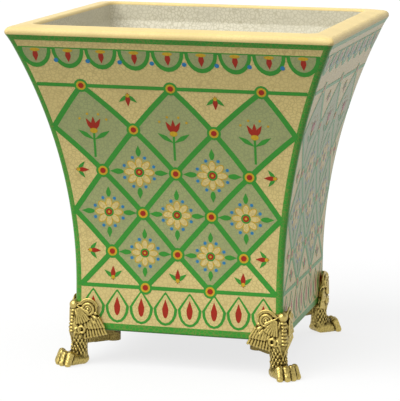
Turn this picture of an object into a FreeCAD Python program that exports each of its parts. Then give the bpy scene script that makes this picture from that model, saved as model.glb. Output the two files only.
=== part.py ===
import FreeCAD, Part
import math
import os
import re
import Sketcher

# Flared square porcelain planter held up by four cast brass feet.
# Frame: millimetres, +Z up, origin on the floor under the middle, the front looks along -Y.
# Each foot hugs one bottom corner with two feathered wings, its scrolled leg drops to a toed paw,
# and a stud through the porcelain floor clamps it with a nut inside.

SIZES = {
    # vessel, outside
    "rim_width": 252,
    "base_width": 165,
    "vessel_height": 240,
    "base_band": 36,
    "neck_drop": 15,
    "lip_overhang": 4.6,
    "lip_nose": 4,
    "corner_radius": 3.5,
    "base_edge_radius": 1.5,
    # vessel, inside
    "rim_land": 17,
    "rim_flat": 5,
    "rim_fall": 1.2,
    "rim_edge_radius": 2.5,
    "wall": 10,
    "floor_thickness": 12,
    "well_corner_radius": 9,
    "well_floor_radius": 6,
    # fixing of each foot
    "stand_height": 28,
    "stud_inset": 24,
    "stud_diameter": 5,
    "stud_chamfer": 0.6,
    "stud_show": 2.5,
    "stud_hole_clearance": 1.5,
    "thread_clearance": 0.05,
    "pad_thickness": 1.5,
    "pad_margin": 1,
    "pad_front": 12,
    "seal_diameter": 16,
    "seal_thickness": 1.6,
    "washer_diameter": 14,
    "washer_thickness": 1.2,
    "nut_across_flats": 8,
    "nut_height": 4,
    # foot: seat under the porcelain
    "seat_width": 18,
    "seat_front": 9,
    "seat_thickness": 4,
    "boss_diameter": 12,
    "boss_depth": 7,
    "boss_bottom": 2,
    "corner_gap": 0.3,
    # foot: wings
    "wing_length": 25,
    "wing_rise": 23.5,
    "wing_drop": 6,
    "wing_plate": 2,
    "primary_crest": 1.1,
    "secondary_crest": 2.4,
    "covert_crest": 3.3,
    "volute_radius": 5.4,
    "volute_crest": 3.1,
    "scroll_radius": 2.4,
    "scroll_thickness": 1.1,
    "scroll_crest": 3.2,
    # foot: spine, leg and paw, measured out from the corner along the diagonal
    "leg_setback": 4,
    "leg_depth": 13.5,
    "leg_width": 14,
    "leg_height": 47,
    "knob_radius": 4.1,
    "knob_reach": 4.6,
    "bead_radius": 3.3,
    "bead_setback": 0.7,
    "paw_length": 21,
    "paw_heel": 10.5,
    "paw_width": 18.5,
    "paw_height": 10.5,
    "knuckle_radius": 3.2,
    "toe_tip_radius": 2.9,
    "toe_length": 7.6,
    "toe_reach": 20.4,
    "sole_flat": 0.9,
    "gusset_width": 5,
    # every cut runs past the solid by this much
    "overrun": 5,
}

# Corners of the planter as signs of X and Y.
CORNERS = {
    "front_right": (1, -1),
    "front_left": (-1, -1),
    "rear_right": (1, 1),
    "rear_left": (-1, 1),
}

# Leg and spine: height, centre, depth and width as shares of leg height, depth, depth and width.
LEG_STATION_SHARES = (
    (0.08, 0.10, 1.06, 1.02),
    (0.20, 0.02, 1.00, 0.96),
    (0.34, -0.02, 0.94, 0.92),
    (0.48, 0.00, 1.02, 1.02),
    (0.60, 0.10, 1.02, 1.00),
    (0.76, 0.16, 0.76, 0.76),
    (0.90, 0.18, 0.66, 0.60),
    (1.00, 0.14, 0.40, 0.40),
)

# Paw: place along its length, middle height, half height and half width as shares.
# Each section dips under the floor, which cuts the sole flat.
PAW_STATION_SHARES = (
    (0.00, 0.28, 0.40, 0.26),
    (0.22, 0.38, 0.56, 0.40),
    (0.55, 0.40, 0.58, 0.47),
    (0.85, 0.38, 0.58, 0.45),
    (1.00, 0.34, 0.46, 0.38),
)

# Toes: place across the paw as a share of its width, setback as a share of toe length, fan in degrees.
TOE_SHARES = (
    (-0.375, 0.26, -20),
    (-0.125, 0.00, -6),
    (0.125, 0.00, 6),
    (0.375, 0.26, 20),
)
TOE_DROOP = 66

# Wing outline beside the corner: shares of wing length along the wall and of wing height up from its foot.
WING_OUTLINE_SHARES = {
    "inner_foot": (0.00, 0.02),
    "heel": (0.30, 0.03),
    "tail": (0.86, 0.07),
    "tail_bulge": (0.93, 0.11),
    "tip_low": (0.92, 0.20),
    "edge_bulge": (0.78, 0.58),
    "shoulder": (0.62, 0.86),
    "crown": (0.34, 0.97),
    "inner_top": (0.00, 0.88),
}
# The feathers fan about the first point; the shoulder volute and the scroll by the leg sit at the others.
WING_PIVOT_SHARE = (0.16, 0.84)
VOLUTE_SHARE = (0.46, 0.78)
SCROLL_SHARE = (0.26, 0.22)

# Feather tiers: crest, first and last angle, count, root start, first, middle and last reach.
# Angles are degrees above the level; a reach is a share of wing length, a start a share of that reach.
FEATHER_TIER_SHARES = (
    ("primary_crest", -8, -96, 9, 0.52, 0.72, 1.16, 0.86),
    ("secondary_crest", -20, -95, 7, 0.42, 0.64, 0.84, 0.60),
    ("covert_crest", -50, -93, 4, 0.26, 0.54, 0.54, 0.38),
)
# A feather fills this share of its step in the fan, its root is this share of its tip,
# and its back is flat at this share of the plate.
FEATHER_FILL_SHARE = 0.96
FEATHER_ROOT_SHARE = 0.44
FEATHER_BACK_SHARE = 0.25
# Rings of the volute from the rim to the eye: middle and half width, both as shares of its radius.
VOLUTE_RING_SHARES = ((0.80, 0.20), (0.42, 0.14))
VOLUTE_EYE_SHARE = 0.22

# Beads on the spine under the knob: height as a share of leg height, size as a share of the bead.
BEAD_SHARES = ((0.78, 1.00), (0.66, 0.94))
# The rounding of an edge stays within this share of the smaller form beside it.
FILLET_LIMIT_SHARE = 0.92
HALF_SHARE = 0.5
# Two places closer than this share of a form are the same place.
TOLERANCE_SHARE = 0.001

doc = FreeCAD.newDocument("planter")
sheet = doc.addObject("Spreadsheet::Sheet", "sizes")
for row, (alias, value) in enumerate(SIZES.items(), start=1):
    sheet.set("A%d" % row, alias)
    sheet.set("B%d" % row, str(value))
    sheet.setAlias("B%d" % row, alias)
doc.recompute()


def size(alias):
    """Value of a driving dimension, read back from the sheet."""
    return float(getattr(sheet, alias))


def bind(item, **expressions):
    """Tie properties of an object to the sheet; an alias stands for its cell."""
    for name, text in expressions.items():
        cells = re.sub(r"[a-z_]+", lambda word: "sizes." * (word[0] in SIZES) + word[0], text)
        item.setExpression(name, cells)


def origin_part(body, role):
    """Plane or axis of a body's own origin."""
    return next(item for item in body.Origin.OriginFeatures if item.Role == role)


def sketch_on(body, name, role):
    """Empty sketch on one of the body's own origin planes."""
    sketch = body.newObject("Sketcher::SketchObject", name)
    sketch.AttachmentSupport = [(origin_part(body, role), "")]
    sketch.MapMode = "FlatFace"
    return sketch


def datum(sketch, kind, place, value, expression):
    """Dimension in a sketch, named by its order and tied to the sheet."""
    index = sketch.addConstraint(Sketcher.Constraint(kind, *place, value))
    bind(sketch, **{"Constraints[%d]" % index: expression})


def square(body, name, half, expression):
    """Centred square sketch on the level plane."""
    sketch = sketch_on(body, name, "XY_Plane")
    corners = [FreeCAD.Vector(half * x, half * y, 0) for x, y in ((-1, -1), (1, -1), (1, 1), (-1, 1))]
    for index, corner in enumerate(corners):
        sketch.addGeometry(Part.LineSegment(corner, corners[(index + 1) % len(corners)]), False)
    for index in range(len(corners)):
        following = (index + 1) % len(corners)
        sketch.addConstraint(Sketcher.Constraint("Coincident", index, 2, following, 1))
        sketch.addConstraint(Sketcher.Constraint("Vertical" if index % 2 else "Horizontal", index))
    for geometry, kind in ((1, "DistanceX"), (2, "DistanceY")):
        datum(sketch, kind, (-1, 1, geometry, 1), half, expression)
    for geometry, kind in ((3, "DistanceX"), (0, "DistanceY")):
        datum(sketch, kind, (geometry, 1, -1, 1), half, expression)
    return sketch


def circle(body, name, centre, radius, place_expressions, radius_expression):
    """Circle sketch on the level plane, with its centre to the right of and above the origin."""
    sketch = sketch_on(body, name, "XY_Plane")
    sketch.addGeometry(Part.Circle(centre, FreeCAD.Vector(0, 0, 1), radius), False)
    datum(sketch, "DistanceX", (-1, 1, 0, 3), centre.x, place_expressions[0])
    datum(sketch, "DistanceY", (-1, 1, 0, 3), centre.y, place_expressions[1])
    datum(sketch, "Radius", (0,), radius, radius_expression)
    return sketch


def quarter_turns(body, feature, name):
    """Repeat a feature on all four sides."""
    pattern = body.newObject("PartDesign::PolarPattern", name)
    pattern.Originals = [feature]
    pattern.Axis = (origin_part(body, "Z_Axis"), [""])
    pattern.Angle = 360
    pattern.Occurrences = len(CORNERS)
    body.Tip = pattern
    doc.recompute()
    return pattern


def rounded(body, feature, name, chosen, expression):
    """Fillet on the edges of a feature that a test chooses."""
    edges = feature.Shape.Edges
    names = ["Edge%d" % (index + 1) for index, edge in enumerate(edges) if chosen(edge)]
    fillet = body.newObject("PartDesign::Fillet", name)
    fillet.Base = (feature, names)
    bind(fillet, Radius=expression)
    body.Tip = fillet
    doc.recompute()
    return fillet


def on_mitre(edge):
    """True for a rising edge where two sides meet at a corner."""
    tolerance = size("overrun") * TOLERANCE_SHARE
    ends = [vertex.Point for vertex in edge.Vertexes]
    rises = abs(ends[0].z - ends[-1].z) > tolerance
    return rises and all(abs(abs(point.x) - abs(point.y)) < tolerance for point in ends)


def level_at(height):
    """Test for an edge that lies at one height."""
    tolerance = size("overrun") * TOLERANCE_SHARE
    return lambda edge: all(abs(vertex.Z - height) < tolerance for vertex in edge.Vertexes)


def arc_from(centre, first, last):
    """Arc the short way round a centre between two points, stored turning to the left."""
    start, end = first - centre, last - centre
    if start.cross(end).z < 0:
        start, end = end, start
    turn = start.getAngle(end)
    begin = math.atan2(start.y, start.x)
    whole = Part.Circle(centre, FreeCAD.Vector(0, 0, 1), start.Length)
    return Part.ArcOfCircle(whole, begin, begin + turn)


def chain(sketch, geometry, tangent_joints):
    """Closed loop of edges, each starting where the one before ends, smooth at the given starts."""
    for item in geometry:
        sketch.addGeometry(item, False)
    for index in range(len(geometry)):
        following = (index + 1) % len(geometry)
        kind = "Tangent" if following in tangent_joints else "Coincident"
        first_end = joint_end(geometry[index], geometry[following])
        next_end = joint_end(geometry[following], geometry[index])
        sketch.addConstraint(Sketcher.Constraint(kind, index, first_end, following, next_end))


def joint_end(item, other):
    """Which end of an edge, 1 or 2, meets its neighbour."""
    others = (other.StartPoint, other.EndPoint)
    gaps = [min(point.distanceToPoint(end) for end in others) for point in (item.StartPoint, item.EndPoint)]
    return 1 if gaps[0] < gaps[1] else 2


def build_vessel():
    """Porcelain body: a block cut to the flared profile on four sides, hollowed by a matching core."""
    body = doc.addObject("PartDesign::Body", "vessel")
    cuts = size("overrun")
    rim = size("rim_width") / 2
    base = size("base_width") / 2
    top = size("vessel_height")
    outline = square(body, "block_outline", rim + cuts / 2, "rim_width / 2 + overrun / 2")
    block = body.newObject("PartDesign::Pad", "block")
    block.Profile = outline
    bind(block, Length="vessel_height")
    body.Tip = block
    doc.recompute()

    # Side profile: straight band, wide flare, cove under the lip, rounded nose, falling rim.
    band = FreeCAD.Vector(base, size("base_band"), 0)
    neck = FreeCAD.Vector(rim - size("lip_overhang"), top - size("neck_drop"), 0)
    run = neck - band
    flare = (run.x ** 2 + run.y ** 2) / (2 * run.x)
    flare_centre = band + FreeCAD.Vector(flare, 0, 0)
    nose = size("lip_nose")
    crown = top - size("rim_fall")
    nose_centre = FreeCAD.Vector(rim - nose, crown - nose, 0)
    outward = (flare_centre - neck) / flare
    offset = neck - nose_centre
    cove = (offset.dot(offset) - nose ** 2) / (2 * (nose - offset.dot(outward)))
    cove_centre = neck + outward * cove
    cove_end = cove_centre + (nose_centre - cove_centre) * (cove / (cove + nose))
    rim_inner = FreeCAD.Vector(rim - size("rim_land") + size("rim_flat"), top, 0)
    fall = rim_inner - nose_centre
    angle = math.atan2(fall.y, fall.x) - math.acos(nose / fall.Length)
    nose_end = nose_centre + FreeCAD.Vector(math.cos(angle), math.sin(angle), 0) * nose
    foot = FreeCAD.Vector(base, 0, 0)
    below = FreeCAD.Vector(base, -cuts, 0)
    outer_low = FreeCAD.Vector(rim + cuts, -cuts, 0)
    outer_high = FreeCAD.Vector(rim + cuts, top + cuts, 0)
    above = FreeCAD.Vector(rim_inner.x, top + cuts, 0)
    waste = sketch_on(body, "side_waste", "XZ_Plane")
    chain(waste, [
        Part.LineSegment(below, band),
        arc_from(flare_centre, band, neck),
        arc_from(cove_centre, neck, cove_end),
        arc_from(nose_centre, cove_end, nose_end),
        Part.LineSegment(nose_end, rim_inner),
        Part.LineSegment(rim_inner, above),
        Part.LineSegment(above, outer_high),
        Part.LineSegment(outer_high, outer_low),
        Part.LineSegment(outer_low, below),
    ], tangent_joints=(1, 2, 3, 4))
    for line in (0, 5, 7):
        waste.addConstraint(Sketcher.Constraint("Vertical", line))
    for line in (6, 8):
        waste.addConstraint(Sketcher.Constraint("Horizontal", line))
    datum(waste, "DistanceX", (-1, 1, 0, 1), base, "base_width / 2")
    datum(waste, "DistanceY", (-1, 1, 0, 2), band.y, "base_band")
    datum(waste, "DistanceY", (0, 1, -1, 1), cuts, "overrun")
    neck_end = joint_end(arc_from(flare_centre, band, neck), arc_from(cove_centre, neck, cove_end))
    datum(waste, "DistanceX", (-1, 1, 1, neck_end), neck.x, "rim_width / 2 - lip_overhang")
    datum(waste, "DistanceY", (-1, 1, 1, neck_end), neck.y, "vessel_height - neck_drop")
    datum(waste, "Radius", (3,), nose, "lip_nose")
    datum(waste, "DistanceX", (-1, 1, 3, 3), nose_centre.x, "rim_width / 2 - lip_nose")
    datum(waste, "DistanceY", (-1, 1, 3, 3), nose_centre.y, "vessel_height - rim_fall - lip_nose")
    datum(waste, "DistanceX", (-1, 1, 5, 1), rim_inner.x, "rim_width / 2 - rim_land + rim_flat")
    datum(waste, "DistanceY", (-1, 1, 5, 1), top, "vessel_height")
    datum(waste, "DistanceX", (-1, 1, 7, 1), outer_high.x, "rim_width / 2 + overrun")
    datum(waste, "DistanceY", (-1, 1, 7, 1), outer_high.y, "vessel_height + overrun")
    doc.recompute()
    side = body.newObject("PartDesign::Pocket", "side_cut")
    side.Profile = waste
    side.Midplane = True
    bind(side, Length="(rim_width + overrun) * 2")
    body.Tip = side
    doc.recompute()
    sides = quarter_turns(body, side, "four_sides")
    edges = rounded(body, sides, "upright_edges", on_mitre,
                    "min(corner_radius; lip_nose * %s)" % FILLET_LIMIT_SHARE)
    rounded(body, edges, "base_edges", level_at(0), "base_edge_radius")

    core = build_core()
    well = body.newObject("PartDesign::Boolean", "well")
    well.Type = "Cut"
    well.setObjects([core])
    body.Tip = well
    doc.recompute()
    mouth = size("rim_width") / 2 - size("rim_land")

    def round_mouth(edge):
        reach = max(max(abs(vertex.X), abs(vertex.Y)) for vertex in edge.Vertexes)
        return reach < mouth + size("rim_flat") / 2 and level_at(top)(edge)
    rounded(body, well, "rim_inner_edge", round_mouth, "rim_edge_radius")

    inset = base - size("stud_inset")
    hole = circle(body, "stud_hole_outline", FreeCAD.Vector(inset, inset, 0),
                  size("stud_diameter") / 2 + size("stud_hole_clearance"),
                  ["base_width / 2 - stud_inset"] * 2, "stud_diameter / 2 + stud_hole_clearance")
    drill = body.newObject("PartDesign::Pocket", "stud_hole")
    drill.Profile = hole
    drill.Midplane = True
    bind(drill, Length="(floor_thickness + overrun) * 2")
    body.Tip = drill
    doc.recompute()
    quarter_turns(body, drill, "stud_holes")
    bind(body, **{"Placement.Base.z": "stand_height"})
    return body


def build_core():
    """Inside of the vessel as a solid, to be taken away from the block."""
    body = doc.addObject("PartDesign::Body", "well_core")
    cuts = size("overrun")
    mouth = size("rim_width") / 2 - size("rim_land")
    floor_half = size("base_width") / 2 - size("wall")
    floor = size("floor_thickness")
    top = size("vessel_height")
    outline = square(body, "core_outline", mouth + cuts, "rim_width / 2 - rim_land + overrun")
    block = body.newObject("PartDesign::Pad", "core_block")
    block.Profile = outline
    bind(block, Length="vessel_height + overrun")
    body.Tip = block
    doc.recompute()

    start = FreeCAD.Vector(floor_half, floor, 0)
    neck = FreeCAD.Vector(mouth, top - size("neck_drop"), 0)
    run = neck - start
    flare_centre = start + FreeCAD.Vector((run.x ** 2 + run.y ** 2) / (2 * run.x), 0, 0)
    high = top + 2 * cuts
    wide = mouth + 2 * cuts
    waste = sketch_on(body, "core_waste", "XZ_Plane")
    flare = arc_from(flare_centre, start, neck)
    upright = Part.LineSegment(neck, FreeCAD.Vector(mouth, high, 0))
    below = FreeCAD.Vector(floor_half, -cuts, 0)
    chain(waste, [
        Part.LineSegment(below, start),
        flare,
        upright,
        Part.LineSegment(FreeCAD.Vector(mouth, high, 0), FreeCAD.Vector(wide, high, 0)),
        Part.LineSegment(FreeCAD.Vector(wide, high, 0), FreeCAD.Vector(wide, -cuts, 0)),
        Part.LineSegment(FreeCAD.Vector(wide, -cuts, 0), below),
    ], tangent_joints=(1,))
    for line in (0, 2, 4):
        waste.addConstraint(Sketcher.Constraint("Vertical", line))
    for line in (3, 5):
        waste.addConstraint(Sketcher.Constraint("Horizontal", line))
    datum(waste, "DistanceX", (-1, 1, 0, 1), floor_half, "base_width / 2 - wall")
    datum(waste, "DistanceY", (0, 1, -1, 1), cuts, "overrun")
    datum(waste, "DistanceY", (-1, 1, 0, 2), floor, "floor_thickness")
    datum(waste, "DistanceX", (-1, 1, 2, 1), mouth, "rim_width / 2 - rim_land")
    datum(waste, "DistanceY", (-1, 1, 2, 1), neck.y, "vessel_height - neck_drop")
    datum(waste, "DistanceX", (-1, 1, 4, 1), wide, "rim_width / 2 - rim_land + overrun * 2")
    datum(waste, "DistanceY", (-1, 1, 4, 1), high, "vessel_height + overrun * 2")
    doc.recompute()
    side = body.newObject("PartDesign::Pocket", "core_side_cut")
    side.Profile = waste
    side.Midplane = True
    bind(side, Length="(rim_width + overrun) * 2")
    body.Tip = side
    doc.recompute()
    sides = quarter_turns(body, side, "core_four_sides")

    under = square(body, "under_floor_outline", mouth + cuts, "rim_width / 2 - rim_land + overrun")
    lift = body.newObject("PartDesign::Pocket", "under_floor")
    lift.Profile = under
    lift.Reversed = True
    bind(lift, Length="floor_thickness")
    body.Tip = lift
    doc.recompute()
    if not lift.Shape.Volume < sides.Shape.Volume:
        raise RuntimeError("the core was not lifted to the floor")
    corners = rounded(body, lift, "core_corners", on_mitre, "well_corner_radius")
    rounded(body, corners, "core_floor_edges", level_at(floor), "well_floor_radius")
    return body


def primitive(kind, name, placement, **expressions):
    """Part primitive tied to the sheet, at a place in the planter's frame."""
    item = doc.addObject(kind, name)
    bind(item, **expressions)
    item.Placement = placement
    return item


def place(x=0, y=0, z=0, axis=FreeCAD.Vector(0, 0, 1), angle=0):
    """Placement from a position and one turn."""
    return FreeCAD.Placement(FreeCAD.Vector(x, y, z), FreeCAD.Rotation(axis, angle))


def corner_place(x, y):
    """Frame of a foot: on the floor under the porcelain's corner, X out along the diagonal."""
    half = size("base_width") / 2
    return place(x * half, y * half, 0, angle=math.degrees(math.atan2(y, x)))


def stud_reach():
    """How far in from the corner, along the diagonal, a foot's stud stands."""
    return math.sqrt(2) * size("stud_inset")


def wing_place():
    """Frame of a wing on the right side: X along the wall from the corner, Y up, Z out of the wall."""
    half = size("base_width") / 2
    turn = FreeCAD.Rotation(FreeCAD.Vector(0, 1, 0), FreeCAD.Vector(0, 0, 1), FreeCAD.Vector(1, 0, 0))
    low = size("stand_height") - size("wing_drop")
    return FreeCAD.Placement(FreeCAD.Vector(half + size("corner_gap"), -half, low), turn)


def loft(name, sections):
    """Smooth solid through level or upright ellipses."""
    item = doc.addObject("Part::Loft", name)
    item.Sections = sections
    item.Solid = True
    return item


def ellipse(name, placement, along, across):
    """Ellipse whose longer half lies on its own X axis, or is turned to lie on Y."""
    item = doc.addObject("Part::Ellipse", name)
    if across > along:
        placement = placement.multiply(place(angle=90))
    item.MajorRadius = max(along, across)
    item.MinorRadius = min(along, across)
    item.Placement = placement
    return item


def build_leg(corner):
    """Leg and spine: level ellipses from inside the paw up to the knob."""
    sections = []
    for index, (height, centre, depth, width) in enumerate(LEG_STATION_SHARES):
        spot = place(centre * size("leg_depth") - size("leg_setback"), 0, height * size("leg_height"))
        sections.append(ellipse("leg_section_%d" % index, corner.multiply(spot),
                                depth * size("leg_depth") / 2, width * size("leg_width") / 2))
    return loft("leg", sections)


def build_paw(corner):
    """Paw behind the toes: upright ellipses from the heel forward."""
    sections = []
    upright = place(axis=FreeCAD.Vector(0, 1, 0), angle=90)
    for index, (along, middle, tall, wide) in enumerate(PAW_STATION_SHARES):
        spot = place(along * size("paw_length") - size("paw_heel"), 0, middle * size("paw_height"))
        sections.append(ellipse("paw_section_%d" % index, corner.multiply(spot).multiply(upright),
                                tall * size("paw_height"), wide * size("paw_width")))
    return loft("paw", sections)


def round_bar(length, back, front):
    """Tapered bar along X with round ends, from a ball at the origin to a smaller or larger ball."""
    slope = (back - front) / length
    # The profile lies under the axis, so the seam of the turned form is on its underside.
    lean = FreeCAD.Vector(slope, 0, -math.sqrt(1 - slope ** 2))
    heel = FreeCAD.Vector(-back, 0, 0)
    toe = FreeCAD.Vector(length + front, 0, 0)
    first = lean * back
    last = FreeCAD.Vector(length, 0, 0) + lean * front
    diagonal = math.sqrt(HALF_SHARE)
    round_back = FreeCAD.Vector(-diagonal, 0, -diagonal) * back
    half_turn = math.acos(slope) / 2
    round_front = FreeCAD.Vector(length + front * math.cos(half_turn), 0, -front * math.sin(half_turn))
    edges = [
        Part.Arc(heel, round_back, first),
        Part.LineSegment(first, last),
        Part.Arc(last, round_front, toe),
        Part.LineSegment(toe, heel),
    ]
    profile = Part.Face(Part.Wire([edge.toShape() for edge in edges]))
    return profile.revolve(FreeCAD.Vector(0, 0, 0), FreeCAD.Vector(1, 0, 0), 360)


def shaped(name, shape, placement):
    """Free form as an object of the document."""
    item = doc.addObject("Part::Feature", name)
    item.Shape = shape
    item.Placement = placement
    return item


def build_toes(corner):
    """Four toes fanned over the front of the paw."""
    toes = []
    length = size("toe_length")
    knuckle, tip = size("knuckle_radius"), size("toe_tip_radius")
    level = FreeCAD.Vector(0, 1, 0)
    drop = length * math.sin(math.radians(TOE_DROOP))
    for index, (across, setback, fan) in enumerate(TOE_SHARES):
        back = size("toe_reach") - tip - length - setback * length
        spot = place(back, across * size("paw_width"), tip + drop - size("sole_flat"), angle=fan)
        knuckle_place = corner.multiply(spot).multiply(place(axis=level, angle=TOE_DROOP))
        toes.append(shaped("toe_%d" % index, round_bar(length, knuckle, tip), knuckle_place))
    return toes


def build_spine(corner):
    """Knob at the top of the corner and the beads below it."""
    high = size("stand_height") + size("wing_rise") - size("knob_radius")
    spot = place(size("knob_reach") - size("knob_radius"), 0, high)
    items = [primitive("Part::Sphere", "knob", corner.multiply(spot), Radius="knob_radius")]
    for index, (height, share) in enumerate(BEAD_SHARES):
        front = size("knob_reach") - size("bead_setback") - size("bead_radius") * share
        spot = place(front, 0, height * size("leg_height"))
        items.append(primitive("Part::Sphere", "bead_%d" % index, corner.multiply(spot),
                               Radius="bead_radius * %s" % share))
    return items


def wing_point(share):
    """Point in a wing's own plane from shares of its length and height."""
    height = size("wing_rise") + size("wing_drop")
    return FreeCAD.Vector(share[0] * size("wing_length"), share[1] * height, 0)


def build_wing_plate(wing):
    """Plate that backs the feathers, cut to the wing's outline."""
    spot = {name: wing_point(share) for name, share in WING_OUTLINE_SHARES.items()}
    edges = [
        Part.LineSegment(spot["inner_foot"], spot["heel"]),
        Part.LineSegment(spot["heel"], spot["tail"]),
        Part.Arc(spot["tail"], spot["tail_bulge"], spot["tip_low"]),
        Part.Arc(spot["tip_low"], spot["edge_bulge"], spot["shoulder"]),
        Part.Arc(spot["shoulder"], spot["crown"], spot["inner_top"]),
        Part.LineSegment(spot["inner_top"], spot["inner_foot"]),
    ]
    outline = doc.addObject("Part::Feature", "wing_outline")
    outline.Shape = Part.Wire([edge.toShape() for edge in edges])
    outline.Placement = wing
    plate = doc.addObject("Part::Extrusion", "wing_plate")
    plate.Base = outline
    plate.DirMode = "Custom"
    plate.Dir = wing.Rotation.multVec(FreeCAD.Vector(0, 0, 1))
    plate.Solid = True
    bind(plate, LengthFwd="wing_plate")
    return plate


def build_feathers(wing):
    """Three overlapping tiers of feathers, fanned about the shoulder of the wing, and its volute."""
    pivot = wing_point(WING_PIVOT_SHARE)
    span = size("wing_length")
    items = []
    for crest, first, last, count, start, reach_first, reach_middle, reach_last in FEATHER_TIER_SHARES:
        step = math.radians(abs(last - first)) / (count - 1)
        for index in range(count):
            along = index / (count - 1)
            angle = first + (last - first) * along
            near = reach_first if along < HALF_SHARE else reach_last
            reach = (near + (reach_middle - near) * (1 - abs(1 - 2 * along))) * span
            tip = reach * math.tan(step / 2) * FEATHER_FILL_SHARE / (1 + math.tan(step / 2))
            root = tip * FEATHER_ROOT_SHARE
            level = size("wing_plate") + size(crest) - tip
            turned = place(pivot.x, pivot.y, level, angle=angle).multiply(place(start * reach + root))
            back = size("wing_plate") * FEATHER_BACK_SHARE - level
            behind = Part.makeBox(2 * span, 2 * span, span, FreeCAD.Vector(-span, -span, back - span))
            quill = round_bar(reach * (1 - start) - root - tip, root, tip).cut(behind)
            name = "%s_%d" % (crest.replace("_crest", ""), index)
            items.append(shaped(name, quill, wing.multiply(turned)))
    spot = wing_point(VOLUTE_SHARE)
    middle = wing.multiply(place(spot.x, spot.y, size("wing_plate") * HALF_SHARE))
    items.append(shaped("volute", turned_volute(), middle))
    spot = wing_point(SCROLL_SHARE)
    high = size("wing_plate") + size("scroll_crest") - size("scroll_thickness")
    items.append(primitive("Part::Torus", "scroll", wing.multiply(place(spot.x, spot.y, high)),
                           Radius1="scroll_radius", Radius2="scroll_thickness"))
    return items


def turned_volute():
    """Round shoulder of a wing: two rings about an eye, turned about the Z axis."""
    radius = size("volute_radius")
    floor = size("wing_plate") * HALF_SHARE + size("volute_crest") - radius * VOLUTE_RING_SHARES[0][1]
    rounds = [(share * radius, half * radius) for share, half in VOLUTE_RING_SHARES]
    points = [FreeCAD.Vector(0, 0, 0), FreeCAD.Vector(radius, 0, 0), FreeCAD.Vector(radius, 0, floor)]
    edges = [Part.LineSegment(points[0], points[1]), Part.LineSegment(points[1], points[2])]
    last = points[-1]
    for middle, half in rounds:
        outer = FreeCAD.Vector(middle + half, 0, floor)
        inner = FreeCAD.Vector(middle - half, 0, floor)
        if not last.isEqual(outer, half * TOLERANCE_SHARE):
            edges.append(Part.LineSegment(last, outer))
        edges.append(Part.Arc(outer, FreeCAD.Vector(middle, 0, floor + half), inner))
        last = inner
    eye = radius * VOLUTE_EYE_SHARE
    edges.append(Part.LineSegment(last, FreeCAD.Vector(eye, 0, floor)))
    slant = eye * math.sqrt(HALF_SHARE)
    top = FreeCAD.Vector(0, 0, floor + eye)
    edges.append(Part.Arc(FreeCAD.Vector(eye, 0, floor), FreeCAD.Vector(slant, 0, floor + slant), top))
    edges.append(Part.LineSegment(top, points[0]))
    profile = Part.Face(Part.Wire([edge.toShape() for edge in edges]))
    return profile.revolve(FreeCAD.Vector(0, 0, 0), FreeCAD.Vector(0, 0, 1), 360)


def tongue(name, corner, low, front, half, thickness):
    """Flat strip in from the corner along the diagonal, round about the stud at its inner end."""
    reach = stud_reach()
    end = primitive("Part::Cylinder", name + "_end", corner.multiply(place(-reach, 0, low)),
                    Radius=half, Height=thickness)
    end.recompute()
    strip = primitive("Part::Box", name + "_strip", corner.multiply(place(-reach, -end.Radius.Value, low)),
                      Width="(%s) * 2" % half, Height=thickness)
    strip.Length = reach - size(front)
    return [strip, end]


def build_seat(corner):
    """Tongue under the porcelain, a boss below it for the stud and a gusset from the leg to the boss."""
    top = size("stand_height") - size("pad_thickness")
    low = top - size("seat_thickness") - size("boss_depth")
    reach = stud_reach()
    deep = "boss_depth + seat_thickness / 2"
    boss = primitive("Part::Cylinder", "seat_boss", corner.multiply(place(-reach, 0, low)),
                     Radius="boss_diameter / 2", Height=deep)
    edge = corner.multiply(place(-reach, -size("gusset_width") / 2, low))
    gusset = primitive("Part::Box", "seat_gusset", edge, Width="gusset_width", Height=deep)
    gusset.Length = reach - size("leg_setback")
    plate = tongue("seat", corner, top - size("seat_thickness"), "seat_front", "seat_width / 2",
                   "seat_thickness")
    return plate + [boss, gusset]


def mirrored(source, name, normal, base=FreeCAD.Vector(0, 0, 0)):
    """Mirror image of an object across a plane."""
    item = doc.addObject("Part::Mirroring", name)
    item.Source = source
    item.Normal = normal
    item.Base = base
    return item


def fused(name, shapes):
    """Union of several objects, joined one after another; the last step bears the name."""
    whole = shapes[0]
    for index, shape in enumerate(shapes[1:], start=2):
        step = doc.addObject("Part::Fuse", name if index == len(shapes) else "%s_%d" % (name, index))
        step.Base = whole
        step.Tool = shape
        whole = step
    return whole


def cut_from(name, base, tool):
    """One object less another."""
    item = doc.addObject("Part::Cut", name)
    item.Base = base
    item.Tool = tool
    return item


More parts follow.
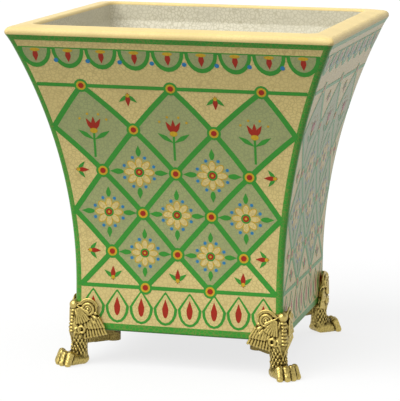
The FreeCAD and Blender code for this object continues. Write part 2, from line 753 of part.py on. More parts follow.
def build_foot():
    """Front right foot: one casting, clear of the porcelain, bored for its stud, flat underneath."""
    corner = corner_place(*CORNERS["front_right"])
    wing = wing_place()
    half = size("base_width") / 2
    gap = size("corner_gap")
    cuts = size("overrun")
    seat_top = size("stand_height") - size("pad_thickness")
    span = size("wing_length") + cuts
    porcelain = primitive("Part::Box", "porcelain_corner", place(half + gap - span, -half - gap, seat_top),
                          Length="wing_length + overrun", Width="wing_length + overrun",
                          Height="wing_rise + pad_thickness + overrun")
    reach = size("toe_reach") + cuts
    wide = "(toe_reach + overrun) * 2"
    ground = primitive("Part::Box", "ground", corner.multiply(place(-reach, -reach, -cuts)),
                       Length=wide, Width=wide, Height="overrun")
    bore_low = seat_top - size("seat_thickness") - size("boss_depth") + size("boss_bottom")
    bore = primitive("Part::Cylinder", "stud_bore", corner.multiply(place(-stud_reach(), 0, bore_low)),
                     Radius="stud_diameter / 2 + thread_clearance",
                     Height="seat_thickness + boss_depth + overrun")

    paw = cut_from("paw_on_ground", fused("paw_and_toes", [build_paw(corner)] + build_toes(corner)), ground)
    stem = fused("leg_and_seat", [build_leg(corner)] + build_spine(corner) + build_seat(corner))
    clear_stem = cut_from("stem_bored", cut_from("stem_cleared", stem, porcelain), bore)
    side_wing = fused("side_wing", [build_wing_plate(wing)] + build_feathers(wing))
    front_wing = mirrored(side_wing, "front_wing", FreeCAD.Vector(1, 1, 0))
    return fused("foot_front_right", [clear_stem, paw, side_wing, front_wing])


def build_fixing(name, x, y):
    """Cushion, stud, seal, washer and nut of the foot at one corner."""
    corner = corner_place(x, y)
    axis = corner.multiply(place(-stud_reach()))
    seat_top = size("stand_height") - size("pad_thickness")
    floor = size("stand_height") + size("floor_thickness")
    blank = fused("pad_blank_" + name, tongue("pad_" + name, corner, seat_top, "pad_front",
                                              "seat_width / 2 - pad_margin", "pad_thickness"))
    under = axis.multiply(place(0, 0, seat_top - size("overrun")))
    hole = primitive("Part::Cylinder", "pad_hole_" + name, under,
                     Radius="stud_diameter / 2 + stud_hole_clearance", Height="pad_thickness + overrun * 2")
    pad = cut_from("seat_pad_" + name, blank, hole)
    on_stud = "stud_diameter / 2 + thread_clearance"
    seal = ring("seal_washer_" + name, axis.multiply(place(0, 0, floor)), "seal_diameter / 2", on_stud,
                "seal_thickness")
    washer_low = floor + size("seal_thickness")
    washer = ring("washer_" + name, axis.multiply(place(0, 0, washer_low)), "washer_diameter / 2", on_stud,
                  "washer_thickness")
    nut_low = washer_low + size("washer_thickness")
    hexagon = primitive("Part::Prism", "nut_blank_" + name, axis.multiply(place(0, 0, nut_low)),
                        Polygon="6", Circumradius="nut_across_flats / sqrt(3)", Height="nut_height")
    thread = primitive("Part::Cylinder", "nut_thread_" + name,
                       axis.multiply(place(0, 0, nut_low - size("overrun"))), Radius=on_stud,
                       Height="nut_height + overrun * 2")
    nut = cut_from("nut_" + name, hexagon, thread)

    low = seat_top - size("seat_thickness") - size("boss_depth") + size("boss_bottom")
    rod = primitive("Part::Cylinder", "stud_rod_" + name, axis.multiply(place(0, 0, low)),
                    Radius="stud_diameter / 2")
    rod.Height = nut_low + size("nut_height") + size("stud_show") - low
    doc.recompute()
    stud = doc.addObject("Part::Chamfer", "stud_" + name)
    stud.Base = rod
    ends = [index + 1 for index, edge in enumerate(rod.Shape.Edges) if len(edge.Vertexes) == 1]
    stud.Edges = [(index, size("stud_chamfer"), size("stud_chamfer")) for index in ends]
    return [pad, seal, washer, nut, stud]


def ring(name, placement, outer, inner, thickness):
    """Flat washer."""
    blank = primitive("Part::Cylinder", name + "_blank", placement, Radius=outer, Height=thickness)
    deep = placement.multiply(place(0, 0, -size("overrun")))
    hole = primitive("Part::Cylinder", name + "_hole", deep, Radius=inner,
                     Height=thickness + " + overrun * 2")
    return cut_from(name, blank, hole)


def check_and_write(pieces):
    """Write each piece once every object of the document has built and every piece is one sound solid."""
    doc.recompute()
    for item in doc.Objects:
        if "Invalid" in item.State or "Error" in item.State:
            raise RuntimeError("%s did not build: %s" % (item.Name, item.State))
    for piece in pieces:
        shape = piece.Shape
        if shape.isNull() or not shape.isValid() or len(shape.Solids) != 1:
            raise RuntimeError("%s is not one sound solid" % piece.Label)
    os.makedirs("parts", exist_ok=True)
    for piece in pieces:
        piece.Shape.exportStep(os.path.join("parts", piece.Label + ".step"))


def main():
    """Build every piece of the planter and write it out."""
    vessel = build_vessel()
    foot = build_foot()
    across = FreeCAD.Vector(1, 0, 0)
    along = FreeCAD.Vector(0, 1, 0)
    front_left = mirrored(foot, "foot_front_left", across)
    feet = [foot, front_left, mirrored(foot, "foot_rear_right", along),
            mirrored(front_left, "foot_rear_left", along)]
    fixings = []
    for name, (x, y) in CORNERS.items():
        fixings += build_fixing(name, x, y)
    check_and_write([vessel] + feet + fixings)


if __name__ == "__main__":
    main()
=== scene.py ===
import math

import bmesh
import bpy
import numpy as np
from bpy.props import FloatProperty, FloatVectorProperty, IntProperty, PointerProperty
from mathutils import Matrix, Vector, noise


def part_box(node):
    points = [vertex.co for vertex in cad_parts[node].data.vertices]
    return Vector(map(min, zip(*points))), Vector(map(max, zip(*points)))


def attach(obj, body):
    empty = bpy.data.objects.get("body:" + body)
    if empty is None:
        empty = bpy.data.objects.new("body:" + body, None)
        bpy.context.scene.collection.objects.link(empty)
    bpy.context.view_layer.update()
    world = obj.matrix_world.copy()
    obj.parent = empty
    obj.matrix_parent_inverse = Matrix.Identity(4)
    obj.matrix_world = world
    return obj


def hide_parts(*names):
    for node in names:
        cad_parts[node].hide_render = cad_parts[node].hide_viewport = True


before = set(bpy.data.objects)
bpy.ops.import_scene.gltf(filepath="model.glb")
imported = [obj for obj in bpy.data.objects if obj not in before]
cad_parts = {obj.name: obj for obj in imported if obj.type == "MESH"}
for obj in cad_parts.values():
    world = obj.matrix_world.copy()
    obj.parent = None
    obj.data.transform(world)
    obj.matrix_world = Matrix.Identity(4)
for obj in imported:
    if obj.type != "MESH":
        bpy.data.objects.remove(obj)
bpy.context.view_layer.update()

bl_info = {
    "name": "Footed porcelain planter",
    "version": (1, 0, 0),
    "blender": (4, 5, 0),
    "location": "3D View > Sidebar > Planter",
    "description": "Flared square planter with crackled glaze, enamel lattice and cast brass paw feet",
    "category": "Add Mesh",
}

MM = 0.001
# Places closer than this are the same place.
CLOSE = 0.001 * MM
# Rings drawn up a flared wall; cuts, and their distance, that let the enamel follow it.
FLARE_STEPS = 56
WALL_CUTS = 37
CUT_STEP = 6 * MM
# A stud stands this far in from both sides of the base.
STUD_INSET = 24 * MM
VESSEL_LOW, VESSEL_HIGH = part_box("vessel")
STUD_LOW, STUD_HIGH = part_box("stud_front_right")
CORNERS = {"front_right": (1, -1), "front_left": (-1, -1), "rear_right": (1, 1), "rear_left": (-1, 1)}


def srgb(code):
    """Linear colour of an sRGB hex code."""
    parts = [int(code[start:start + 2], 16) / 255 for start in (1, 3, 5)]
    return tuple(part / 12.92 if part <= 0.04045 else ((part + 0.055) / 1.055) ** 2.4 for part in parts)


def length(name, description, default):
    """Length property with its default in metres."""
    return FloatProperty(name=name, description=description, default=default, unit="LENGTH", precision=4)


def colour(name, description, code):
    """Colour property with its default from an sRGB hex code."""
    return FloatVectorProperty(name=name, description=description, default=srgb(code), subtype="COLOR",
                               size=3, min=0, max=1)


class PlanterSizes(bpy.types.PropertyGroup):
    """Sizes of the porcelain and of its painted bands."""
    rim_half: length("Rim half width", "Half the width over the lip", VESSEL_HIGH.x)
    top: length("Top", "Height of the rim above the floor", VESSEL_HIGH.z)
    stand: length("Stand", "Height of the porcelain's underside above the floor", VESSEL_LOW.z)
    base_half: length("Base half width", "Half the width of the base",
                      (STUD_LOW.x + STUD_HIGH.x) / 2 + STUD_INSET)
    band: length("Base band", "Height of the straight band under the flare", 36 * MM)
    neck_drop: length("Neck drop", "Depth of the cove and lip below the rim", 15 * MM)
    overhang: length("Lip overhang", "How far the lip stands out past the neck", 4.6 * MM)
    nose: length("Lip nose", "Radius of the rounded lip", 4 * MM)
    fall: length("Rim fall", "How far the rim drops towards the lip", 1.2 * MM)
    land: length("Rim land", "Width of the rim from lip to mouth", 17 * MM)
    flat: length("Rim flat", "Width of the level strip by the mouth", 5 * MM)
    mouth_radius: length("Mouth radius", "Rounding of the rim's inner edge", 2.5 * MM)
    corner: length("Corner radius", "Rounding of the upright edges outside", 3.5 * MM)
    well_corner: length("Well corner radius", "Rounding of the upright edges inside", 9 * MM)
    well_floor: length("Well floor radius", "Rounding where the wall meets the floor inside", 6 * MM)
    wall: length("Wall", "Thickness of the wall at the base", 10 * MM)
    floor: length("Floor", "Thickness of the porcelain floor", 12 * MM)
    base_edge: length("Base edge", "Rounding of the base's lower edge", 1.5 * MM)
    edge_line: length("Edge line", "Width of the green line down each corner", 5 * MM)
    top_line: length("Top line", "Depth below the rim where the green line under the lip starts", 10.7 * MM)
    foot_line: length("Foot line", "Width of the green line round the base", 6 * MM)
    craze: length("Crackle cell", "Usual size of a cell of the crackle", 3.0 * MM)
    grain: length("Casting grain", "Size of the cells that roughen the cast brass", 1.6 * MM)
    patch: length("Stain patch", "Usual size of a patch where the crackle shows more", 30 * MM)
    speck: length("Brass speck", "Usual size of the specks in the cast brass", 0.9 * MM)
    tooling: length("Tooling", "Usual size of the marks on the turned brass", 0.6 * MM)
    tarnish: length("Tarnish", "Usual size of a tarnished patch on the turned brass", 7 * MM)
    bloom: length("Bloom", "Usual size of the chalky bloom on rubber", 3 * MM)


class PlanterColours(bpy.types.PropertyGroup):
    """Colours of the glazes, enamels, metal and stage."""
    ground: colour("Ground", "Cream glaze of the walls", "#CFBC7D")
    rim: colour("Rim", "Straw glaze of the rim", "#D8C182")
    inside: colour("Inside", "Pale glaze of the well", "#C6C1AC")
    bisque: colour("Bisque", "Unglazed underside", "#D8CFBC")
    green: colour("Green", "Leaf green enamel", "#368C2C")
    sage: colour("Sage", "Grey green enamel", "#999F6B")
    red: colour("Red", "Brick red enamel", "#9C2611")
    gold: colour("Gold", "Yellow gold enamel", "#C39F26")
    blue: colour("Blue", "Sky blue enamel", "#2E7BA8")
    brass: colour("Brass", "Polished high spots of the castings", "#C6B168")
    patina: colour("Patina", "Dark wax left in the hollows of the castings", "#30240A")
    rubber: colour("Rubber", "Cushions and seals", "#2A2826")
    paper: colour("Paper", "Floor of the stage", "#727272")


class PlanterFeet(bpy.types.PropertyGroup):
    """Sizes of a foot and of the chasing on it."""
    wing_length: length("Wing length", "Length of a wing along the wall", 25 * MM)
    wing_height: length("Wing height", "Height of a wing from its foot", 29.5 * MM)
    wing_foot: length("Wing foot", "Height of a wing's foot above the floor", VESSEL_LOW.z - 6 * MM)
    wing_gap: length("Wing gap", "Space between a wing and the porcelain", 0.3 * MM)
    wing_plate: length("Wing plate", "Thickness of the plate behind the feathers", 2 * MM)
    leg_height: length("Leg height", "Height of the leg and spine", 47 * MM)
    leg_depth: length("Leg depth", "Depth of the leg along the diagonal", 13.5 * MM)
    leg_width: length("Leg width", "Width of the leg across the diagonal", 14 * MM)
    leg_setback: length("Leg setback", "How far the leg's middle stands in from the corner", 4 * MM)
    heel: length("Heel", "How far the heel stands in from the corner", 10.5 * MM)
    heel_round: length("Heel round", "Rounding of the heel at the floor", 6.5 * MM)
    seat_reach: length("Seat reach", "Distance in from the corner where the seat leaves the leg", 12 * MM)
    shell: length("Shell", "Radius of the line round a wing's volute", 6.5 * MM)
    strand: length("Strand", "Radius of the fine strands", 0.7 * MM)
    quill: length("Quill", "Radius of a hanging feather at its tip", 1.15 * MM)
    bead: length("Bead", "Radius of a bead on the spine", 2.2 * MM)
    lock: length("Lock", "Radius of a lock of fur", 1.45 * MM)
    fur: length("Fur", "Depth of the tufts pressed into the leg and paw", 0.34 * MM)
    fur_top: length("Fur top", "Height where the tufts have faded out", 27 * MM)
    fur_fade: length("Fur fade", "Height over which the tufts fade", 6 * MM)
    fur_reach: length("Fur reach", "Distance in from the corner where the tufts end", 16 * MM)
    pit: length("Pit", "Depth of the grain of the casting", 0.1 * MM)
    skin: length("Skin cell", "Cell of the skin that joins the casting and its chasing", 0.34 * MM)


class PlanterLattice(bpy.types.PropertyGroup):
    """Layout of the enamel lattice on each side."""
    columns: IntProperty(name="Columns", description="Lozenges across a side", default=3, min=1)
    rows: IntProperty(name="Half rows", description="Half lozenges up a side", default=5, min=2)
    low: length("Lattice foot", "Height up the wall where the lattice starts", 36 * MM)
    high: length("Lattice head", "Height up the wall where the lattice ends", 198 * MM)
    strap: length("Strap", "Width of a strap of the lattice", 4.2 * MM)
    petals: IntProperty(name="Petals", description="Upright petals along the foot", default=8, min=1)
    lappets: IntProperty(name="Lappets", description="Hanging lappets under the lip", default=9, min=1)


def sizes():
    return bpy.context.scene.planter_sizes


def colours():
    return bpy.context.scene.planter_colours


def feet():
    return bpy.context.scene.planter_feet


def lattice():
    return bpy.context.scene.planter_lattice


# Materials

def add(tree, kind, inputs=None, **settings):
    """Add a node, set its properties, and fill inputs from values or from other nodes' outputs."""
    node = tree.nodes.new(kind)
    for key, value in settings.items():
        setattr(node, key, value)
    for key, value in (inputs or {}).items():
        if isinstance(value, bpy.types.NodeSocket):
            tree.links.new(value, node.inputs[key])
        else:
            node.inputs[key].default_value = value
    return node


def new_material(name):
    """Material with an empty node tree and its output node."""
    made = bpy.data.materials.new(name)
    made.use_nodes = True
    made.node_tree.nodes.clear()
    return made, made.node_tree, made.node_tree.nodes.new("ShaderNodeOutputMaterial")


def glaze(name, paint, line, line_share, roughness):
    """Crackled glaze: a clear glassy coat over colour, crazed into cells with stained lines between."""
    made, tree, output = new_material(name)
    spot = add(tree, "ShaderNodeTexCoord").outputs["Object"]
    cell = 1 / sizes().craze
    bend = add(tree, "ShaderNodeTexNoise", {"Vector": spot, "Scale": cell / 2, "Detail": 1.0})
    shift = add(tree, "ShaderNodeVectorMath", {0: bend.outputs["Color"], 1: (-0.5, -0.5, -0.5)})
    shift = add(tree, "ShaderNodeVectorMath", {0: shift.outputs[0], "Scale": sizes().craze * 0.6},
                operation="SCALE")
    bent = add(tree, "ShaderNodeVectorMath", {0: spot, 1: shift.outputs[0]})
    craze = add(tree, "ShaderNodeTexVoronoi", {"Vector": bent.outputs[0], "Scale": cell},
                feature="DISTANCE_TO_EDGE")
    lines = add(tree, "ShaderNodeMapRange", {"Value": craze.outputs["Distance"], "From Max": 0.14,
                                             "To Min": line_share, "To Max": 0.0})
    # The stain fades in and out from patch to patch.
    patch = add(tree, "ShaderNodeTexNoise", {"Vector": spot, "Scale": 1 / sizes().patch, "Detail": 2.0})
    fade = add(tree, "ShaderNodeMapRange", {"Value": patch.outputs["Fac"], "From Min": 0.3, "From Max": 0.7,
                                            "To Min": 0.55, "To Max": 1.0})
    stain = add(tree, "ShaderNodeMath", {0: lines.outputs[0], 1: fade.outputs[0]}, operation="MULTIPLY")
    tone = add(tree, "ShaderNodeMapRange", {"Value": patch.outputs["Fac"], "From Min": 0.3, "From Max": 0.7,
                                            "To Min": 0.94, "To Max": 1.05})
    colour_in = paint(tree, spot) if callable(paint) else (*paint, 1.0)
    toned = add(tree, "ShaderNodeMix", {0: 1.0, 6: colour_in, 7: tone.outputs[0]}, data_type="RGBA",
                blend_type="MULTIPLY")
    crazed = add(tree, "ShaderNodeMix", {0: stain.outputs[0], 6: toned.outputs[2], 7: (*line, 1.0)},
                 data_type="RGBA")
    relief = add(tree, "ShaderNodeBump",
                 {"Height": lines.outputs[0], "Strength": 0.25, "Distance": 0.05 * MM}, invert=True)
    shader = add(tree, "ShaderNodeBsdfPrincipled", {"Base Color": crazed.outputs[2], "Roughness": roughness,
                                                    "IOR": 1.45, "Specular IOR Level": 0.3,
                                                    "Normal": relief.outputs[0]})
    tree.links.new(shader.outputs[0], output.inputs["Surface"])
    return made


def banded_ground(tree, spot):
    """Cream ground with green lines down the corners, under the lip and round the base."""
    size, tint = sizes(), colours()
    part = add(tree, "ShaderNodeSeparateXYZ", {0: spot}).outputs
    wide = add(tree, "ShaderNodeMath", {0: part["X"]}, operation="ABSOLUTE")
    deep = add(tree, "ShaderNodeMath", {0: part["Y"]}, operation="ABSOLUTE")
    gap = add(tree, "ShaderNodeMath", {0: wide.outputs[0], 1: deep.outputs[0]}, operation="SUBTRACT")
    inset = add(tree, "ShaderNodeMath", {0: gap.outputs[0]}, operation="ABSOLUTE")
    edge = add(tree, "ShaderNodeMath", {0: inset.outputs[0], 1: size.edge_line}, operation="LESS_THAN")
    under_lip = size.top - size.top_line
    high = add(tree, "ShaderNodeMath", {0: part["Z"], 1: under_lip}, operation="GREATER_THAN")
    low = add(tree, "ShaderNodeMath", {0: part["Z"], 1: size.stand + size.foot_line}, operation="LESS_THAN")
    ends = add(tree, "ShaderNodeMath", {0: high.outputs[0], 1: low.outputs[0]}, operation="MAXIMUM")
    lined = add(tree, "ShaderNodeMath", {0: edge.outputs[0], 1: ends.outputs[0]}, operation="MAXIMUM")
    mixed = add(tree, "ShaderNodeMix", {0: lined.outputs[0], 6: (*tint.ground, 1.0), 7: (*tint.green, 1.0)},
                data_type="RGBA")
    return mixed.outputs[2]


def cast_brass(name):
    """Cast brass, waxed dark and rubbed back: bright warm high spots, brown hollows, painted shade on the seat,
    a fine grain all over.
    """
    made, tree, output = new_material(name)
    spot = add(tree, "ShaderNodeTexCoord").outputs["Object"]
    grain = add(tree, "ShaderNodeTexNoise", {"Vector": spot, "Scale": 1 / sizes().speck, "Detail": 3.0})
    # The stored share darkens the hollows with wax and the seat under the porcelain with painted shade.
    hollow_and_shade = add(tree, "ShaderNodeAttribute", attribute_name="hollow_and_shade")
    speck = add(tree, "ShaderNodeMapRange", {"Value": grain.outputs["Fac"], "From Min": 0.35, "From Max": 0.65,
                                             "To Min": -0.18, "To Max": 0.18})
    waxed_and_shaded = add(tree, "ShaderNodeMath", {0: hollow_and_shade.outputs["Fac"], 1: speck.outputs[0]}, operation="ADD",
                use_clamp=True)
    tone = add(tree, "ShaderNodeMix", {0: waxed_and_shaded.outputs[0], 6: (*colours().brass, 1.0),
                                       7: (*colours().patina, 1.0)}, data_type="RGBA")
    dull = add(tree, "ShaderNodeMapRange", {"Value": waxed_and_shaded.outputs[0], "To Min": 0.28, "To Max": 0.7})
    relief = add(tree, "ShaderNodeBump",
                 {"Height": grain.outputs["Fac"], "Strength": 0.35, "Distance": 0.2 * MM})
    shader = add(tree, "ShaderNodeBsdfPrincipled", {"Base Color": tone.outputs[2], "Metallic": 1.0,
                                                    "Roughness": dull.outputs[0], "Normal": relief.outputs[0]})
    tree.links.new(shader.outputs[0], output.inputs["Surface"])
    return made


def turned_brass(name):
    """Turned brass of the fixings: fine marks from the tool, a little tarnish."""
    made, tree, output = new_material(name)
    spot = add(tree, "ShaderNodeTexCoord").outputs["Object"]
    marks = add(tree, "ShaderNodeTexNoise", {"Vector": spot, "Scale": 1 / sizes().tooling, "Detail": 2.0})
    stain = add(tree, "ShaderNodeTexNoise", {"Vector": spot, "Scale": 1 / sizes().tarnish, "Detail": 4.0})
    share = add(tree, "ShaderNodeMapRange", {"Value": stain.outputs["Fac"], "From Min": 0.4, "From Max": 0.75,
                                             "To Min": 0.05, "To Max": 0.5})
    tone = add(tree, "ShaderNodeMix", {0: share.outputs[0], 6: (*colours().brass, 1.0),
                                       7: (*colours().patina, 1.0)}, data_type="RGBA")
    relief = add(tree, "ShaderNodeBump",
                 {"Height": marks.outputs["Fac"], "Strength": 0.2, "Distance": 0.1 * MM})
    shader = add(tree, "ShaderNodeBsdfPrincipled", {"Base Color": tone.outputs[2], "Metallic": 1.0,
                                                    "Roughness": 0.35, "Normal": relief.outputs[0]})
    tree.links.new(shader.outputs[0], output.inputs["Surface"])
    return made


def moulded_rubber(name):
    """Black moulded rubber: matt, faintly mottled with chalky bloom."""
    made, tree, output = new_material(name)
    spot = add(tree, "ShaderNodeTexCoord").outputs["Object"]
    bloom = add(tree, "ShaderNodeTexNoise", {"Vector": spot, "Scale": 1 / sizes().bloom, "Detail": 4.0})
    share = add(tree, "ShaderNodeMapRange", {"Value": bloom.outputs["Fac"], "From Min": 0.4, "From Max": 0.8,
                                             "To Min": 0.0, "To Max": 0.12})
    tone = add(tree, "ShaderNodeMix", {0: share.outputs[0], 6: (*colours().rubber, 1.0),
                                       7: (*colours().bisque, 1.0)}, data_type="RGBA")
    shader = add(tree, "ShaderNodeBsdfPrincipled", {"Base Color": tone.outputs[2], "Roughness": 0.8})
    tree.links.new(shader.outputs[0], output.inputs["Surface"])
    return made


# Meshes

def piece(name, bm, materials, stands_for=()):
    """Turn a bmesh into a smooth piece that rides with the planter and stands for the named nodes."""
    mesh = bpy.data.meshes.new(name)
    for face in bm.faces:
        face.smooth = True
    bm.to_mesh(mesh)
    bm.free()
    for made in materials:
        mesh.materials.append(made)
    item = bpy.data.objects.new(name, mesh)
    bpy.context.scene.collection.objects.link(item)
    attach(item, "root")
    if stands_for:
        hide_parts(*stands_for)
    return item


def sweep(centre, radius, start, end, steps):
    """Places along an arc in the upright plane, without its first one; angles are in degrees."""
    for step in range(1, steps + 1):
        angle = math.radians(start + (end - start) * step / steps)
        yield centre[0] + radius * math.cos(angle), centre[1] + radius * math.sin(angle)


def flare(foot, neck):
    """Radius and sweep, in degrees, of the arc that leaves its foot upright and ends at the neck."""
    run, rise = neck[0] - foot[0], neck[1] - foot[1]
    radius = (run ** 2 + rise ** 2) / (2 * run)
    return radius, math.degrees(math.asin(rise / radius))


def outer_flare():
    """Radius and sweep of the outside of the wall."""
    size = sizes()
    foot = (size.base_half, size.stand + size.band)
    return flare(foot, (size.rim_half - size.overhang, size.top - size.neck_drop))


def vessel_profile():
    """Half widths and heights from the edge of the underside up, over the rim and down to the well's floor."""
    size = sizes()
    low, top = size.stand, size.top
    rows = [(*spot, "outside") for spot in sweep((size.base_half - size.base_edge, low + size.base_edge),
                                                 size.base_edge, -90, 0, 4)]
    foot = (size.base_half, low + size.band)
    neck = (size.rim_half - size.overhang, top - size.neck_drop)
    rows.append((*foot, "outside"))
    radius, turn = outer_flare()
    wall = sweep((foot[0] + radius, foot[1]), radius, 180, 180 - turn, FLARE_STEPS)
    rows += [(*spot, "outside") for spot in wall]
    centre = Vector((size.rim_half - size.nose, top - size.fall - size.nose))
    lean = Vector((math.cos(math.radians(turn)), -math.sin(math.radians(turn))))
    offset = Vector(neck) - centre
    cove = (offset.length_squared - size.nose ** 2) / (2 * (size.nose - offset.dot(lean)))
    cove_centre = Vector(neck) + lean * cove
    to_nose = centre - cove_centre
    meet = math.degrees(math.atan2(to_nose.y, to_nose.x))
    rows += [(*spot, "outside") for spot in sweep(cove_centre, cove, 180 - turn, meet % 360, 8)]
    shelf = Vector((size.rim_half - size.land + size.flat, top))
    fall = shelf - centre
    over = math.degrees(math.atan2(fall.y, fall.x) - math.acos(size.nose / fall.length))
    rows += [(*spot, "rim") for spot in sweep(centre, size.nose, meet - 180, over, 14)]
    mouth = size.rim_half - size.land
    rows += [(shelf.x, top, "rim"), (mouth + size.mouth_radius, top, "rim")]
    rows += [(*spot, "rim") for spot in sweep((mouth + size.mouth_radius, top - size.mouth_radius),
                                              size.mouth_radius, 90, 180, 6)]
    rows.append((mouth, neck[1], "inside"))
    floor = low + size.floor
    floor_half = size.base_half - size.wall
    radius, turn = flare((floor_half, floor), (mouth, neck[1]))
    last = math.degrees(math.asin(size.well_floor / radius))
    wall = sweep((floor_half + radius, floor), radius, 180 - turn, 180 - last, FLARE_STEPS)
    rows += [(*spot, "inside") for spot in wall]
    rows += [(*spot, "inside") for spot in sweep((rows[-1][0] - size.well_floor, floor + size.well_floor),
                                                 size.well_floor, 0, -90, 8)]
    return rows


# Faces of the porcelain by the glaze on them, in the order of its materials.
ZONES = ("underside", "outside", "rim", "inside")


def is_mitre(edge):
    """Whether an edge runs along a corner of the square rings, rather than along a ring."""
    first, last = (end.co for end in edge.verts)
    on_corner = all(abs(abs(spot.x) - abs(spot.y)) < CLOSE for spot in (first, last))
    return on_corner and first.x * last.x > 0 and first.y * last.y > 0


def edge_side(edge):
    """Whether a corner edge lies inside the mouth: True inside, False outside, None on the level rim."""
    size = sizes()
    middle = (edge.verts[0].co + edge.verts[1].co) / 2
    if middle.z > size.top - CLOSE:
        return None
    in_well = any(face.material_index == ZONES.index("inside") for face in edge.link_faces)
    in_mouth = abs(middle.x) < size.rim_half - size.land + size.mouth_radius
    return in_well or (in_mouth and middle.z > size.top - size.mouth_radius)


def build_vessel():
    """Porcelain: a square drawn up along the profile ring by ring, then rounded at its mitred corners."""
    size = sizes()
    half, height = size.base_half - size.base_edge, size.stand
    bm = bmesh.new()
    bmesh.ops.create_grid(bm, x_segments=1, y_segments=1, size=half)
    bmesh.ops.translate(bm, verts=bm.verts, vec=(0, 0, height))
    ring = list(bm.edges)
    for wide, high, zone in vessel_profile():
        grown = bmesh.ops.extrude_edge_only(bm, edges=ring)["geom"]
        verts = [item for item in grown if isinstance(item, bmesh.types.BMVert)]
        bmesh.ops.scale(bm, verts=verts, vec=(wide / half, wide / half, 1))
        bmesh.ops.translate(bm, verts=verts, vec=(0, 0, high - height))
        for face in (item for item in grown if isinstance(item, bmesh.types.BMFace)):
            face.material_index = ZONES.index(zone)
        edges = (item for item in grown if isinstance(item, bmesh.types.BMEdge))
        ring = [edge for edge in edges if all(end in verts for end in edge.verts)]
        half, height = wide, high
    floor = bmesh.ops.contextual_create(bm, geom=ring)["faces"]
    floor[0].material_index = ZONES.index("inside")
    for inner, radius in ((False, size.corner), (True, size.well_corner)):
        mitres = [edge for edge in bm.edges if is_mitre(edge) and (edge_side(edge) == inner)]
        bmesh.ops.bevel(bm, geom=mitres, offset=radius, offset_type="OFFSET", segments=7, profile=0.5,
                        affect="EDGES", material=-1, clamp_overlap=False)
    for vert in bm.verts:
        vert.co.z = min(vert.co.z, size.top)
    bmesh.ops.recalc_face_normals(bm, faces=bm.faces)
    tint = colours()
    looks = [
        glaze("unglazed_porcelain", tint.bisque, srgb("#B7AC95"), line_share=0.2, roughness=0.7),
        glaze("crackled_cream_glaze", banded_ground, srgb("#8F7A45"), line_share=0.5, roughness=0.34),
        glaze("straw_glaze", tint.rim, srgb("#B08C4C"), line_share=0.16, roughness=0.45),
        glaze("crackled_pale_glaze", tint.inside, srgb("#8C8462"), line_share=0.5, roughness=0.35),
    ]
    item = piece("glazed_vessel", bm, looks, ["vessel"])
    keep_flat = item.modifiers.new("flat_sides", "WEIGHTED_NORMAL")
    keep_flat.mode = "FACE_AREA"
    return item


def wall_half(up):
    """Half width of the porcelain at a height up the curve of the wall."""
    radius = outer_flare()[0]
    turn = max(up - sizes().band, 0) / radius
    return sizes().base_half + radius * (1 - math.cos(turn))


def wall_spot(spot):
    """Place on the front wall of a spot in the flat design: along the wall, up its curve and out from it."""
    size = sizes()
    radius = outer_flare()[0]
    turn = max(spot.y - size.band, 0) / radius
    rise = min(spot.y, size.band) + radius * math.sin(turn)
    out = size.base_half + radius * (1 - math.cos(turn))
    return Vector((spot.x, -out - spot.z * math.cos(turn), size.stand + rise - spot.z * math.sin(turn)))


